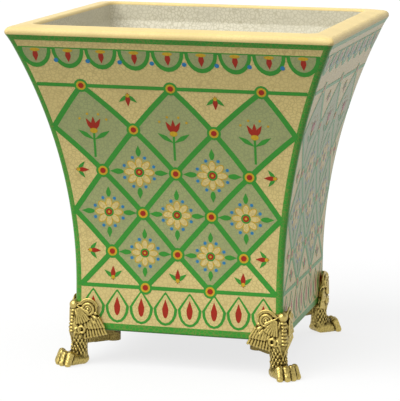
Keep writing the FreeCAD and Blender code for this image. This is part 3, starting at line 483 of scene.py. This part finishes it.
class Enamel:
    """Flat design of one side, one sheet of shapes per colour, laid on the four walls at the end."""

    def __init__(self, names):
        self.sheets = {name: bmesh.new() for name in names}

    def blob(self, tint, spot, wide, tall, turn=0.0, point=0.0, root=1.0, lift=0.2, half=False, segments=16):
        """Oval, pointed at its head and drawn in at its root as asked, standing on its spot if turned."""
        bm = self.sheets[tint]
        made = bmesh.ops.create_circle(bm, cap_ends=True, segments=segments, radius=0.5)["verts"]
        for vert in made:
            along = vert.co.y + 0.5
            if half:
                vert.co.y = min(vert.co.y, 0.0)
            vert.co.x *= root + (1 - root) * min(along * 1.6, 1.0)
            vert.co.x *= 1 - point * max(along - 0.5, 0) * 1.7
        place = Matrix.Translation((spot[0], spot[1], lift * MM)) @ Matrix.Rotation(math.radians(turn), 4, "Z")
        bmesh.ops.transform(bm, matrix=place @ Matrix.Diagonal((wide, tall, 1, 1)), verts=made)

    def spray(self, tint, spot, reach, wide, tall, turns, **shape):
        """Blobs set round a spot, each pointing away from it."""
        for turn in turns:
            angle = math.radians(turn)
            there = (spot[0] - math.sin(angle) * reach, spot[1] + math.cos(angle) * reach)
            self.blob(tint, there, wide, tall, turn, **shape)

    def strap(self, tint, path, wide, lift=0.12, steps=14):
        """Band of even width along a path of the flat design."""
        bm = self.sheets[tint]
        made = bmesh.ops.create_grid(bm, x_segments=steps, y_segments=1, size=0.5)["verts"]
        for vert in made:
            along, side = vert.co.x + 0.5, vert.co.y * 2
            here, ahead, behind = path(along), path(along + 0.01), path(along - 0.01)
            aim = Vector((ahead[0] - behind[0], ahead[1] - behind[1])).normalized()
            vert.co = (here[0] - aim.y * side * wide / 2, here[1] + aim.x * side * wide / 2, lift * MM)

    def field(self, tint, corners, lift=0.06, steps=8):
        """Filled patch between four places given as a share of the half width and a height."""
        bm = self.sheets[tint]
        made = bmesh.ops.create_grid(bm, x_segments=steps, y_segments=steps, size=0.5)["verts"]
        for vert in made:
            across, along = vert.co.x + 0.5, vert.co.y + 0.5
            near = corners[0].lerp(corners[1], across)
            far = corners[3].lerp(corners[2], across)
            spot = near.lerp(far, along)
            vert.co = (*lattice_spot(spot.x, spot.y), lift * MM)

    def lay(self, materials):
        """Wrap each sheet on the front wall, repeat it on the other three, and make it a piece."""
        for name, bm in self.sheets.items():
            for face in bm.faces:
                face.normal_update()
            bmesh.ops.reverse_faces(bm, faces=[face for face in bm.faces if face.normal.z < 0])
            for level in range(1, WALL_CUTS + 1):
                bmesh.ops.bisect_plane(bm, geom=bm.verts[:] + bm.edges[:] + bm.faces[:], dist=CLOSE,
                                       plane_co=(0, level * CUT_STEP, 0), plane_no=(0, 1, 0))
            for vert in bm.verts:
                vert.co = wall_spot(vert.co)
            first = bm.verts[:] + bm.edges[:] + bm.faces[:]
            for quarter in range(1, 4):
                copy = bmesh.ops.duplicate(bm, geom=first)["geom"]
                verts = [item for item in copy if isinstance(item, bmesh.types.BMVert)]
                bmesh.ops.rotate(bm, verts=verts, cent=(0, 0, 0),
                                 matrix=Matrix.Rotation(quarter * math.pi / 2, 3, "Z"))
            piece("enamel_" + name, bm, [materials[name]])


def lattice_spot(share, up):
    """Place in the flat design from a share of the panel's half width and a height up the wall."""
    return share * (wall_half(up) - sizes().edge_line), up


def lay_lattice(art):
    """Straps that cross at bosses, a flower in each lozenge, and buds along the edges of the panel."""
    plan = lattice()
    columns, rows = plan.columns, plan.rows
    heights = [plan.low + (plan.high - plan.low) * (row / rows) ** 1.1 for row in range(rows + 1)]
    step = 1 / columns

    def node(row, share):
        return Vector((share, heights[row]))

    def spread(count):
        return [-(count - 1) * step + 2 * step * index for index in range(count)]

    for row in range(rows + 1):
        for share in spread(columns + 1 if row % 2 == 0 else columns):
            for side in (-1, 1):
                ahead = share + side * step
                if row < rows and abs(ahead) <= 1.001:
                    start, end = node(row, share), node(row + 1, ahead)
                    art.strap("green", lambda t, a=start, b=end: lattice_spot(*a.lerp(b, t)), plan.strap,
                              lift=0.12 + 0.01 * side)
            if abs(share) < 0.99:
                spot = lattice_spot(share, heights[row])
                art.blob("green", spot, 11 * MM, 11 * MM, lift=0.16)
                art.blob("gold", spot, 7.5 * MM, 7.5 * MM, lift=0.2)
                art.blob("red", spot, 4.5 * MM, 4.5 * MM, lift=0.24)
        if 0 < row < rows:
            for share in spread(columns if row % 2 == 0 else columns - 1):
                centre = lattice_spot(share, heights[row])
                grow = 0.72 + 0.28 * heights[row] / plan.high
                art.field("sage", [node(row - 1, share), node(row, share + step), node(row + 1, share),
                                   node(row, share - step)])
                if row < rows - 1:
                    rosette(art, centre, grow)
                else:
                    tulip(art, (centre[0], centre[1] - 10 * MM * grow), grow)
            if row % 2 == 1:
                for side in (-1, 1):
                    spot = lattice_spot(side * (1 - 0.32 * step), heights[row])
                    bud(art, spot, side * 90, 0.9)
    for row, inward in ((0, 1), (rows, -1)):
        up = heights[row]
        for share in spread(columns if row % 2 == 0 else columns - 1):
            spot = lattice_spot(share, up + inward * 9 * MM)
            bud(art, (spot[0], spot[1] - inward * 2 * MM), 0 if inward > 0 else 180, 0.95)
        wide = lattice_spot(1, up)[0]
        art.strap("green", lambda t, w=wide, u=up: ((2 * t - 1) * w, u), 3 * MM, lift=0.15, steps=1)


def lay_petals(art):
    """Upright petals along the foot."""
    plan = lattice()
    for index in range(plan.petals):
        share = -1 + (2 * index + 1) / plan.petals
        spot = lattice_spot(share, sizes().foot_line + 14.2 * MM)
        wide = 2 * lattice_spot(1, spot[1])[0] / plan.petals
        for tone, shrink, lift in (("green", 0.98, 0.14), ("cream", 0.74, 0.18), ("red", 0.26, 0.22)):
            art.blob(tone, spot, wide * shrink, 27 * MM * (0.4 + 0.6 * shrink), point=0.9, lift=lift)


def lay_lappets(art):
    """Hanging lappets under a line below the lip, with dots between them."""
    plan = lattice()
    head = sizes().band + math.radians(outer_flare()[1]) * outer_flare()[0] - 1.5 * MM
    art.strap("green", lambda t: ((2 * t - 1) * lattice_spot(1, head)[0], head), 1.8 * MM, steps=1)
    for index in range(plan.lappets):
        share = -1 + (2 * index + 1) / plan.lappets
        spot = lattice_spot(share, head)
        wide = 2 * lattice_spot(1, head)[0] / plan.lappets
        for tone, shrink, lift in (("green", 0.98, 0.14), ("sage", 0.76, 0.18)):
            art.blob(tone, spot, wide * shrink, 34 * MM * shrink, lift=lift, half=True, segments=24)
        art.blob("red", (spot[0], spot[1] - 6.5 * MM), 4.4 * MM, 10 * MM, 180, point=0.9, lift=0.22)
        art.blob("gold", (spot[0], spot[1] - 1.6 * MM), 8 * MM, 3 * MM, lift=0.24)
        if index:
            edge = lattice_spot(-1 + 2 * index / plan.lappets, head - 10 * MM)
            art.blob("blue", edge, 3.6 * MM, 3.6 * MM, lift=0.2)


def build_enamel():
    """Painted design of a side: petals at the foot, a lattice with flowers, lappets under the lip."""
    tint = colours()
    names = ["sage", "green", "cream", "gold", "red", "blue"]
    art = Enamel(names)
    lay_lattice(art)
    lay_petals(art)
    lay_lappets(art)
    stains = {"sage": "#6F7858", "green": "#2F7238", "cream": "#8F7A45", "gold": "#9A7A1E", "red": "#7A2412",
              "blue": "#27587F"}
    shades = {"sage": tint.sage, "green": tint.green, "cream": tint.ground, "gold": tint.gold, "red": tint.red,
              "blue": tint.blue}
    art.lay({name: glaze(name + "_enamel", shades[name], srgb(stains[name]), line_share=0.5, roughness=0.34)
             for name in names})


def rosette(art, spot, grow):
    """Eight-petalled flower in a lozenge, with dots between the petals and leaves to the sides."""
    unit = MM * grow
    turns = [45 * index for index in range(8)]
    art.spray("gold", spot, 7.2 * unit, 7 * unit, 12.4 * unit, turns, root=0.45, lift=0.14)
    art.spray("cream", spot, 7.2 * unit, 5.4 * unit, 10.6 * unit, turns, root=0.45, lift=0.18)
    art.blob("green", spot, 9 * unit, 9 * unit, lift=0.22)
    art.blob("red", spot, 6 * unit, 6 * unit, lift=0.26)
    art.blob("gold", spot, 2.4 * unit, 2.4 * unit, lift=0.3)
    art.spray("blue", spot, 14 * unit, 2.6 * MM, 2.6 * MM, [22.5 + turn for turn in turns], lift=0.18)
    art.spray("green", spot, 19 * unit, 4.6 * unit, 10 * unit, [0, 180], point=0.9, lift=0.18)
    art.spray("green", spot, 19.5 * unit, 5 * unit, 12 * unit, [90, 270], point=0.9, lift=0.18)


def tulip(art, spot, grow):
    """Upright red flower with a stem and a pair of leaves."""
    unit = MM * grow
    art.strap("green", lambda t: (spot[0], spot[1] + (t - 0.62) * 24 * unit), 1.8 * MM, lift=0.16, steps=1)
    art.spray("green", spot, 8 * unit, 4.6 * unit, 15 * unit, [58, -58], point=0.9, root=0.3, lift=0.18)
    cup = (spot[0], spot[1] + 8 * unit)
    art.spray("red", cup, 5.6 * unit, 4.4 * unit, 13 * unit, [30, 0, -30], point=0.9, root=0.5, lift=0.2)
    art.blob("gold", cup, 6.5 * unit, 4.5 * unit, lift=0.26)
    art.spray("gold", cup, 15 * unit, 2 * MM, 2 * MM, [48, 18, -18, -48], lift=0.2)


def bud(art, spot, turn, grow):
    """Small red bud between two leaves, lying across the edge of the panel."""
    unit = MM * grow
    art.spray("red", spot, 3.5 * unit, 4.6 * unit, 12 * unit, [turn], point=0.9, root=0.5, lift=0.2)
    art.spray("green", spot, 3.5 * unit, 4 * unit, 12 * unit, [turn + 52, turn - 52], point=0.9, root=0.3,
              lift=0.18)
    art.blob("gold", spot, 3.2 * unit, 3.2 * unit, lift=0.24)


def drop(bm, spot, radius, scale=(1, 1, 1), frame_of=Matrix()):
    """Round lump at a place in a frame, stretched along that frame's axes."""
    made = bmesh.ops.create_icosphere(bm, subdivisions=2, radius=radius)["verts"]
    place = frame_of @ Matrix.Translation(spot) @ Matrix.Diagonal((*scale, 1))
    bmesh.ops.transform(bm, matrix=place, verts=made)


def strand(bm, start, end, first, last, frame_of):
    """Tapered round strand between two places in a frame."""
    start, end = Vector(start), Vector(end)
    run = end - start
    made = bmesh.ops.create_cone(bm, cap_ends=True, segments=8, radius1=first, radius2=last,
                                 depth=run.length)["verts"]
    turn = run.to_track_quat("Z", "Y").to_matrix().to_4x4()
    bmesh.ops.transform(bm, matrix=frame_of @ Matrix.Translation((start + end) / 2) @ turn, verts=made)
    drop(bm, start, first, frame_of=frame_of)
    drop(bm, end, last, frame_of=frame_of)


# Leg of a foot: height, centre, depth and width as shares of the leg's height, depth, depth and width.
LEG_SHARES = (
    (0.08, 0.10, 1.06, 1.02), (0.20, 0.02, 1.00, 0.96), (0.34, -0.02, 0.94, 0.92), (0.48, 0.00, 1.02, 1.02),
    (0.60, 0.10, 1.02, 1.00), (0.76, 0.16, 0.76, 0.76), (0.90, 0.18, 0.66, 0.60), (1.00, 0.14, 0.40, 0.40),
)
# Scroll beside the spine: height as a share of the leg's height, and angle from the front in degrees.
CURL_SHARES = ((0.96, 30), (0.85, 58), (0.73, 76), (0.62, 78), (0.54, 62), (0.55, 44), (0.61, 40), (0.63, 52))
# Places on a wing as shares of its length and height.
KNOB_SHARE = (0.12, 0.86)
VOLUTE_SHARE = (0.46, 0.78)
TRIM_SHARES = ((0.62, 0.92), (1.00, 0.30))
# Tiers of hanging feathers: count, first and last tip, first and last root, and height above the plate.
TIER_SHARES = (
    (8, (0.36, -0.02), (1.04, 0.14), (0.34, 0.22), (0.92, 0.35), 0.5),
    (6, (0.50, 0.26), (0.97, 0.32), (0.43, 0.49), (0.80, 0.56), 1.1),
)


def leg_spot(share, turn):
    """Place on the leg's skin at a share of its height and an angle from the front, in the corner's frame."""
    foot = feet()
    table = np.array(LEG_SHARES).T
    middle, deep, wide = (np.interp(share, table[0], row) for row in table[1:])
    angle = math.radians(turn)
    out = middle * foot.leg_depth - foot.leg_setback + deep * foot.leg_depth / 2 * math.cos(angle)
    return Vector((out, wide * foot.leg_width / 2 * math.sin(angle), share * foot.leg_height))


def wing_spot(share, out=0.0):
    """Place on a wing from shares of its length and height and a height above its plate, in its own frame."""
    foot = feet()
    return Vector((share[0] * foot.wing_length, share[1] * foot.wing_height, foot.wing_plate + out))


def trim_wing(bm, wing):
    """Cut the upper feathers of a wing back to one sloping edge."""
    high, low = (wing @ wing_spot(share) for share in TRIM_SHARES)
    outward = wing.to_3x3() @ Vector((0, 0, 1))
    across = outward.cross(high - low)
    if across.dot(wing.translation - low) > 0:
        across.negate()
    cut = bmesh.ops.bisect_plane(bm, geom=bm.verts[:] + bm.edges[:] + bm.faces[:], plane_co=low,
                                 plane_no=across, clear_outer=True)["geom_cut"]
    bmesh.ops.holes_fill(bm, edges=[item for item in cut if isinstance(item, bmesh.types.BMEdge)])


def chase_wing(bm, wing):
    """Lines of a shell round the volute, a fan of strands from the knob, and two tiers of hanging feathers."""
    foot = feet()
    strand_out = 1.2 * foot.strand
    centre = wing_spot(VOLUTE_SHARE, strand_out)
    for radius, first, last in ((foot.shell, 165, -110), (foot.shell + 2 * foot.strand, 150, 20)):
        ring = [Vector((*spot, centre.z)) for spot in sweep(centre, radius, first, last, 16)]
        ring.insert(0, wing_spot(KNOB_SHARE, strand_out))
        for index in range(len(ring) - 1):
            strand(bm, ring[index], ring[index + 1], foot.strand, foot.strand, wing)
    knob = wing_spot(KNOB_SHARE, 4 * foot.strand)
    for radius in (0.66 * foot.shell, 0.35 * foot.shell):
        ring_foot = centre + Vector((0.34, -0.94, 3 * foot.strand / radius)) * radius
        strand(bm, knob, ring_foot, 0.8 * foot.strand, foot.strand, wing)
    for index in range(6):
        angle = math.radians(-46 - 9 * index)
        aim = Vector((math.cos(angle), math.sin(angle), 0))
        strand(bm, knob + aim * 0.1 * foot.wing_length, knob + aim * 0.56 * foot.wing_length,
               0.7 * foot.strand, 1.2 * foot.strand, wing)
    for count, first_tip, last_tip, first_root, last_root, rise in TIER_SHARES:
        for index in range(count):
            along = index / (count - 1)
            tip = Vector(first_tip).lerp(Vector(last_tip), along)
            root = Vector(first_root).lerp(Vector(last_root), along)
            strand(bm, wing_spot(root, rise * foot.quill), wing_spot(tip, rise * foot.quill),
                   0.6 * foot.quill, foot.quill, wing)


def chase_leg(bm, corner):
    """Rope of beads down the spine, a curled scroll each side of it, a pointed leaf, and locks of fur below."""
    foot = feet()
    for index in range(7):
        drop(bm, leg_spot(0.915 - 0.0575 * index, 0), foot.bead, (0.7, 1.2, 0.6), corner)
    for side in (-1, 1):
        spots = [leg_spot(share, side * turn) for share, turn in CURL_SHARES]
        for index in range(len(spots) - 1):
            thick = foot.strand * (1.65 - 0.1 * index)
            strand(bm, spots[index], spots[index + 1], thick, 0.94 * thick, corner)
        strand(bm, leg_spot(0.55, side * 34), leg_spot(0.35, side * 5), 1.6 * foot.strand, foot.strand, corner)
    for row in range(6):
        share = 0.457 - 0.053 * row
        for index in range(10):
            turn = -112 + 25 * index + (12.5 if row % 2 else 0)
            if abs(turn) < 16 and row < 3:
                continue
            turned = Matrix.Rotation(math.radians(turn), 4, "Z") @ Matrix.Rotation(math.radians(14), 4, "Y")
            skin = corner @ Matrix.Translation(leg_spot(share, turn)) @ turned
            drop(bm, (0, 0, 0), foot.lock, (0.5, 0.72, 1.25), skin)


def build_foot_mesh():
    """Front right foot: the plain casting with its chasing added, merged into one skin and roughened."""
    foot, half = feet(), sizes().base_half
    corner = Matrix.Translation((half, -half, 0)) @ Matrix.Rotation(math.radians(-45), 4, "Z")
    side = Matrix(((0, 0, 1, half + foot.wing_gap), (1, 0, 0, -half), (0, 1, 0, foot.wing_foot), (0, 0, 0, 1)))
    across = Matrix(((0, -1, 0, 0), (-1, 0, 0, 0), (0, 0, 1, 0), (0, 0, 0, 1)))
    wings = (side, across @ side)
    mesh = bpy.data.meshes.new("foot_blank")
    casting = bmesh.new()
    casting.from_mesh(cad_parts["foot_front_right"].data)
    bmesh.ops.remove_doubles(casting, verts=casting.verts, dist=CLOSE)
    for wing in wings:
        trim_wing(casting, wing)
    casting.to_mesh(mesh)
    casting.free()
    bm = bmesh.new()
    for wing in wings:
        chase_wing(bm, wing)
    chase_leg(bm, corner)
    bm.from_mesh(mesh)
    bmesh.ops.recalc_face_normals(bm, faces=bm.faces)
    # The skin is made in millimetres, where the voxels aren't too small for the modifier.
    bmesh.ops.scale(bm, verts=bm.verts, vec=(1 / MM, 1 / MM, 1 / MM))
    bm.to_mesh(mesh)
    bm.free()
    blank = bpy.data.objects.new("foot_blank", mesh)
    bpy.context.scene.collection.objects.link(blank)
    skin = blank.modifiers.new("skin", "REMESH")
    skin.mode = "VOXEL"
    skin.voxel_size = foot.skin / MM
    ease = blank.modifiers.new("ease", "SMOOTH")
    ease.factor = 0.5
    ease.iterations = 2
    bpy.context.view_layer.update()
    merged = bpy.data.meshes.new_from_object(blank.evaluated_get(bpy.context.evaluated_depsgraph_get()))
    bpy.data.objects.remove(blank)
    merged.transform(Matrix.Scale(MM, 4))
    round_heel(merged)
    roughen(merged)
    return merged


def per_vertex(mesh, name):
    """Array of a vector property of every vertex of a mesh."""
    flat = np.empty(len(mesh.vertices) * 3)
    mesh.vertices.foreach_get(name, flat)
    return flat.reshape(-1, 3)


def corner_reach(place):
    """How far places lie out from the front right corner of the base, along its diagonal."""
    return (place[:, 0] - place[:, 1]) / math.sqrt(2) - sizes().base_half * math.sqrt(2)


def round_heel(mesh):
    """Draw the square lower corner of the heel in to a round one."""
    foot = feet()
    place = per_vertex(mesh, "co")
    back = foot.heel_round - foot.heel - corner_reach(place)
    low = foot.heel_round - place[:, 2]
    span = np.hypot(back, low)
    outside = (back > 0) & (low > 0) & (span > foot.heel_round) & (back < 2 * foot.heel_round)
    draw = np.where(outside, 1 - foot.heel_round / np.maximum(span, foot.heel_round), 0)
    place += (np.array((1, -1, 0)) / math.sqrt(2)) * (back * draw)[:, None]
    place[:, 2] += low * draw
    mesh.vertices.foreach_set("co", place.ravel())
    mesh.update()


def fur_depth(spot, reach):
    """How far the brass is pressed in at a place: tufts on the leg and paw, a light grain elsewhere."""
    foot = feet()
    cell = Vector(spot) / sizes().grain
    fur = min(max((foot.fur_top - spot[2]) / foot.fur_fade, 0.0), 1.0) if reach > -foot.fur_reach else 0.0
    tuft = noise.voronoi(Vector((cell.x, cell.y, cell.z * 0.6)))[0][0]
    return tuft * fur * foot.fur + foot.pit * abs(noise.noise(cell * 0.7))


# Wax on a level place, what a millimetre of depth adds to it, and painted shade on the seat under the
# porcelain.
WAX_LEVEL, WAX_SLOPE, SEAT_SHADE = 0.36, 2.6, 0.62
# Rounds of easing that make the level that depth is judged against.
EASE_ROUNDS = 14


def roughen(mesh):
    """Press fur and grain into the casting, store how deep each place then lies as the wax in its hollows, and
    paint shade on the seat.
    """
    place = per_vertex(mesh, "co")
    depth = np.array([fur_depth(spot, reach) for spot, reach in zip(place, corner_reach(place))])
    place -= per_vertex(mesh, "normal") * depth[:, None]
    mesh.vertices.foreach_set("co", place.ravel())
    mesh.update()
    ends = np.empty(len(mesh.edges) * 2, int)
    mesh.edges.foreach_get("vertices", ends)
    first, last = ends.reshape(-1, 2).T
    count = len(place)
    near = np.bincount(ends, minlength=count)
    eased = place
    for _ in range(EASE_ROUNDS):
        sums = [np.bincount(first, eased[last, axis], count) + np.bincount(last, eased[first, axis], count)
                for axis in range(3)]
        eased = (np.array(sums) / near).T
    sunk = ((eased - place) * per_vertex(mesh, "normal")).sum(1) / MM
    wax_and_shade = np.clip(WAX_LEVEL + sunk * WAX_SLOPE, 0, 1)
    # The seat under the porcelain is painted dark as the shade beneath the base, and left dull as cast.
    half = sizes().base_half
    seat = (place[:, 0] < half) & (place[:, 1] > -half) & (corner_reach(place) < -feet().seat_reach)
    wax_and_shade[seat] = SEAT_SHADE
    hollow_and_shade = mesh.attributes.new("hollow_and_shade", "FLOAT", "POINT")
    hollow_and_shade.data.foreach_set("value", wax_and_shade.astype(np.float32))


def build_feet():
    """Four cast feet: one mesh turned over to each corner."""
    look = cast_brass("antiqued_cast_brass")
    first = build_foot_mesh()
    for name, (x, y) in CORNERS.items():
        bm = bmesh.new()
        bm.from_mesh(first)
        bmesh.ops.scale(bm, verts=bm.verts, vec=(x, -y, 1))
        bmesh.ops.recalc_face_normals(bm, faces=bm.faces)
        piece("cast_foot_" + name, bm, [look], ["foot_" + name])
    bpy.data.meshes.remove(first)


def finish_fixings():
    """Materials of the studs, nuts, washers and cushions, whose solids stay as they are."""
    looks = {"stud": turned_brass("turned_brass")}
    looks["nut"] = looks["washer"] = looks["stud"]
    looks["seat_pad"] = looks["seal_washer"] = moulded_rubber("moulded_rubber")
    for corner in CORNERS:
        for kind, look in looks.items():
            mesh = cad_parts["%s_%s" % (kind, corner)].data
            mesh.materials.clear()
            mesh.materials.append(look)


# Stage

# Half width of the floor in metres, and the light it shows of its own.
FLOOR_HALF, FLOOR_GLOW = 14, 0.76
# Heading, strength and spread in degrees of the key light.
KEY_HEADING, KEY_STRENGTH, KEY_SPREAD = (0.42, 0.62, -0.78), 3.1, 60
# Place of the camera in metres, its yaw, pitch and roll in degrees, and its lens and sensor in millimetres.
CAMERA_PLACE, CAMERA_TURNS = (0.427, -1.733, 0.4275), (13.95, 9.77, 0.58)
LENS, SENSOR = 203.3, 36


def seen_share(tree):
    """1 for rays of the camera and those that mirror or pass on its view, 0 for rays that light things."""
    ray = add(tree, "ShaderNodeLightPath").outputs
    seen = add(tree, "ShaderNodeMath", {0: ray["Is Camera Ray"], 1: ray["Is Glossy Ray"]}, operation="MAXIMUM")
    seen = add(tree, "ShaderNodeMath", {0: seen.outputs[0], 1: ray["Is Transmission Ray"]}, operation="MAXIMUM")
    return seen.outputs[0]


def white_paper(name):
    """White paper: matt, and whiter where seen without lighting the object, so that a soft shadow stays."""
    made, tree, output = new_material(name)
    glow = add(tree, "ShaderNodeMath", {0: seen_share(tree), 1: FLOOR_GLOW}, operation="MULTIPLY")
    matt = add(tree, "ShaderNodeBsdfDiffuse", {"Color": (*colours().paper, 1.0)})
    bright = add(tree, "ShaderNodeEmission", {"Strength": glow.outputs[0]})
    both = add(tree, "ShaderNodeAddShader", {0: matt.outputs[0], 1: bright.outputs[0]})
    tree.links.new(both.outputs[0], output.inputs["Surface"])
    return made


def lay_floor():
    """Wide paper floor."""
    bm = bmesh.new()
    bmesh.ops.create_grid(bm, x_segments=1, y_segments=1, size=FLOOR_HALF)
    mesh = bpy.data.meshes.new("paper_floor")
    bm.to_mesh(mesh)
    bm.free()
    mesh.materials.append(white_paper("white_paper"))
    floor = bpy.data.objects.new("paper_floor", mesh)
    bpy.context.scene.collection.objects.link(floor)


def hang_dome():
    """Soft dome, brighter overhead; what shows of it greys upwards, so that brass has something to mirror."""
    world = bpy.data.worlds.new("studio_dome")
    world.use_nodes = True
    tree = world.node_tree
    tree.nodes.clear()
    output = tree.nodes.new("ShaderNodeOutputWorld")
    heading = add(tree, "ShaderNodeTexCoord").outputs["Generated"]
    up = add(tree, "ShaderNodeSeparateXYZ", {0: heading}).outputs["Z"]
    dome = add(tree, "ShaderNodeMapRange", {"Value": up, "From Max": 0.7, "To Min": 0.45, "To Max": 0.95})
    backdrop = add(tree, "ShaderNodeMapRange", {"Value": up, "From Min": 0.2, "From Max": 0.8,
                                                "To Min": 1.0, "To Max": 0.35})
    level = add(tree, "ShaderNodeMix", {0: seen_share(tree), 2: dome.outputs[0], 3: backdrop.outputs[0]})
    sky = add(tree, "ShaderNodeBackground", {"Color": (1, 1, 1, 1), "Strength": level.outputs[0]})
    tree.links.new(sky.outputs[0], output.inputs["Surface"])
    bpy.context.scene.world = world


def set_key():
    """One broad key light from the upper left."""
    key = bpy.data.lights.new("key", "SUN")
    key.energy = KEY_STRENGTH
    key.angle = math.radians(KEY_SPREAD)
    lamp = bpy.data.objects.new("key", key)
    lamp.rotation_euler = Vector(KEY_HEADING).to_track_quat("-Z", "Y").to_euler()
    bpy.context.scene.collection.objects.link(lamp)


def set_camera():
    """Camera where the photo was taken from."""
    eye = bpy.data.cameras.new("photo_eye")
    eye.sensor_fit = "HORIZONTAL"
    eye.sensor_width = SENSOR
    eye.lens = LENS
    camera = bpy.data.objects.new("photo_eye", eye)
    yaw, pitch, roll = (math.radians(angle) for angle in CAMERA_TURNS)
    aim = Vector((-math.sin(yaw) * math.cos(pitch), math.cos(yaw) * math.cos(pitch), -math.sin(pitch)))
    level = Vector((math.cos(yaw), math.sin(yaw), 0))
    over = level.cross(aim)
    right = level * math.cos(roll) + over * math.sin(roll)
    top = over * math.cos(roll) - level * math.sin(roll)
    turn = Matrix((right, top, -aim)).transposed().to_4x4()
    camera.matrix_world = Matrix.Translation(CAMERA_PLACE) @ turn
    bpy.context.scene.collection.objects.link(camera)
    bpy.context.scene.camera = camera


def build_stage():
    """White paper floor, soft dome, one broad key light from the upper left, and the camera."""
    lay_floor()
    hang_dome()
    set_key()
    set_camera()
    bpy.context.scene.view_settings.view_transform = "Standard"


class PLANTER_OT_vessel(bpy.types.Operator):
    """Model the glazed porcelain vessel"""
    bl_idname = "planter.vessel"
    bl_label = "Porcelain Vessel"

    def execute(self, context):
        build_vessel()
        return {"FINISHED"}


class PLANTER_OT_enamel(bpy.types.Operator):
    """Lay the enamel lattice on the four walls"""
    bl_idname = "planter.enamel"
    bl_label = "Enamel Lattice"

    def execute(self, context):
        build_enamel()
        return {"FINISHED"}


class PLANTER_OT_feet(bpy.types.Operator):
    """Model the four cast brass feet"""
    bl_idname = "planter.feet"
    bl_label = "Cast Feet"

    def execute(self, context):
        build_feet()
        return {"FINISHED"}


class PLANTER_OT_fixings(bpy.types.Operator):
    """Finish the studs, nuts, washers and cushions"""
    bl_idname = "planter.fixings"
    bl_label = "Fixings"

    def execute(self, context):
        finish_fixings()
        return {"FINISHED"}


class PLANTER_OT_stage(bpy.types.Operator):
    """Set up the floor, light and camera"""
    bl_idname = "planter.stage"
    bl_label = "Stage"

    def execute(self, context):
        build_stage()
        return {"FINISHED"}


class PLANTER_PT_panel(bpy.types.Panel):
    """Planter tools in the sidebar"""
    bl_idname = "PLANTER_PT_panel"
    bl_label = "Porcelain Planter"
    bl_space_type = "VIEW_3D"
    bl_region_type = "UI"
    bl_category = "Planter"

    def draw(self, context):
        for operator in OPERATORS:
            self.layout.operator(operator.bl_idname)


OPERATORS = (PLANTER_OT_vessel, PLANTER_OT_enamel, PLANTER_OT_feet, PLANTER_OT_fixings, PLANTER_OT_stage)
GROUPS = {
    "planter_sizes": PlanterSizes,
    "planter_colours": PlanterColours,
    "planter_feet": PlanterFeet,
    "planter_lattice": PlanterLattice,
}


def register():
    for group in GROUPS.values():
        bpy.utils.register_class(group)
    for name, group in GROUPS.items():
        setattr(bpy.types.Scene, name, PointerProperty(type=group))
    for made in (*OPERATORS, PLANTER_PT_panel):
        bpy.utils.register_class(made)


def unregister():
    for made in (PLANTER_PT_panel, *reversed(OPERATORS)):
        bpy.utils.unregister_class(made)
    for name, group in GROUPS.items():
        delattr(bpy.types.Scene, name)
        bpy.utils.unregister_class(group)


def main():
    register()
    bpy.ops.planter.vessel()
    bpy.ops.planter.enamel()
    bpy.ops.planter.feet()
    bpy.ops.planter.fixings()
    bpy.ops.planter.stage()


if __name__ == "__main__":
    main()
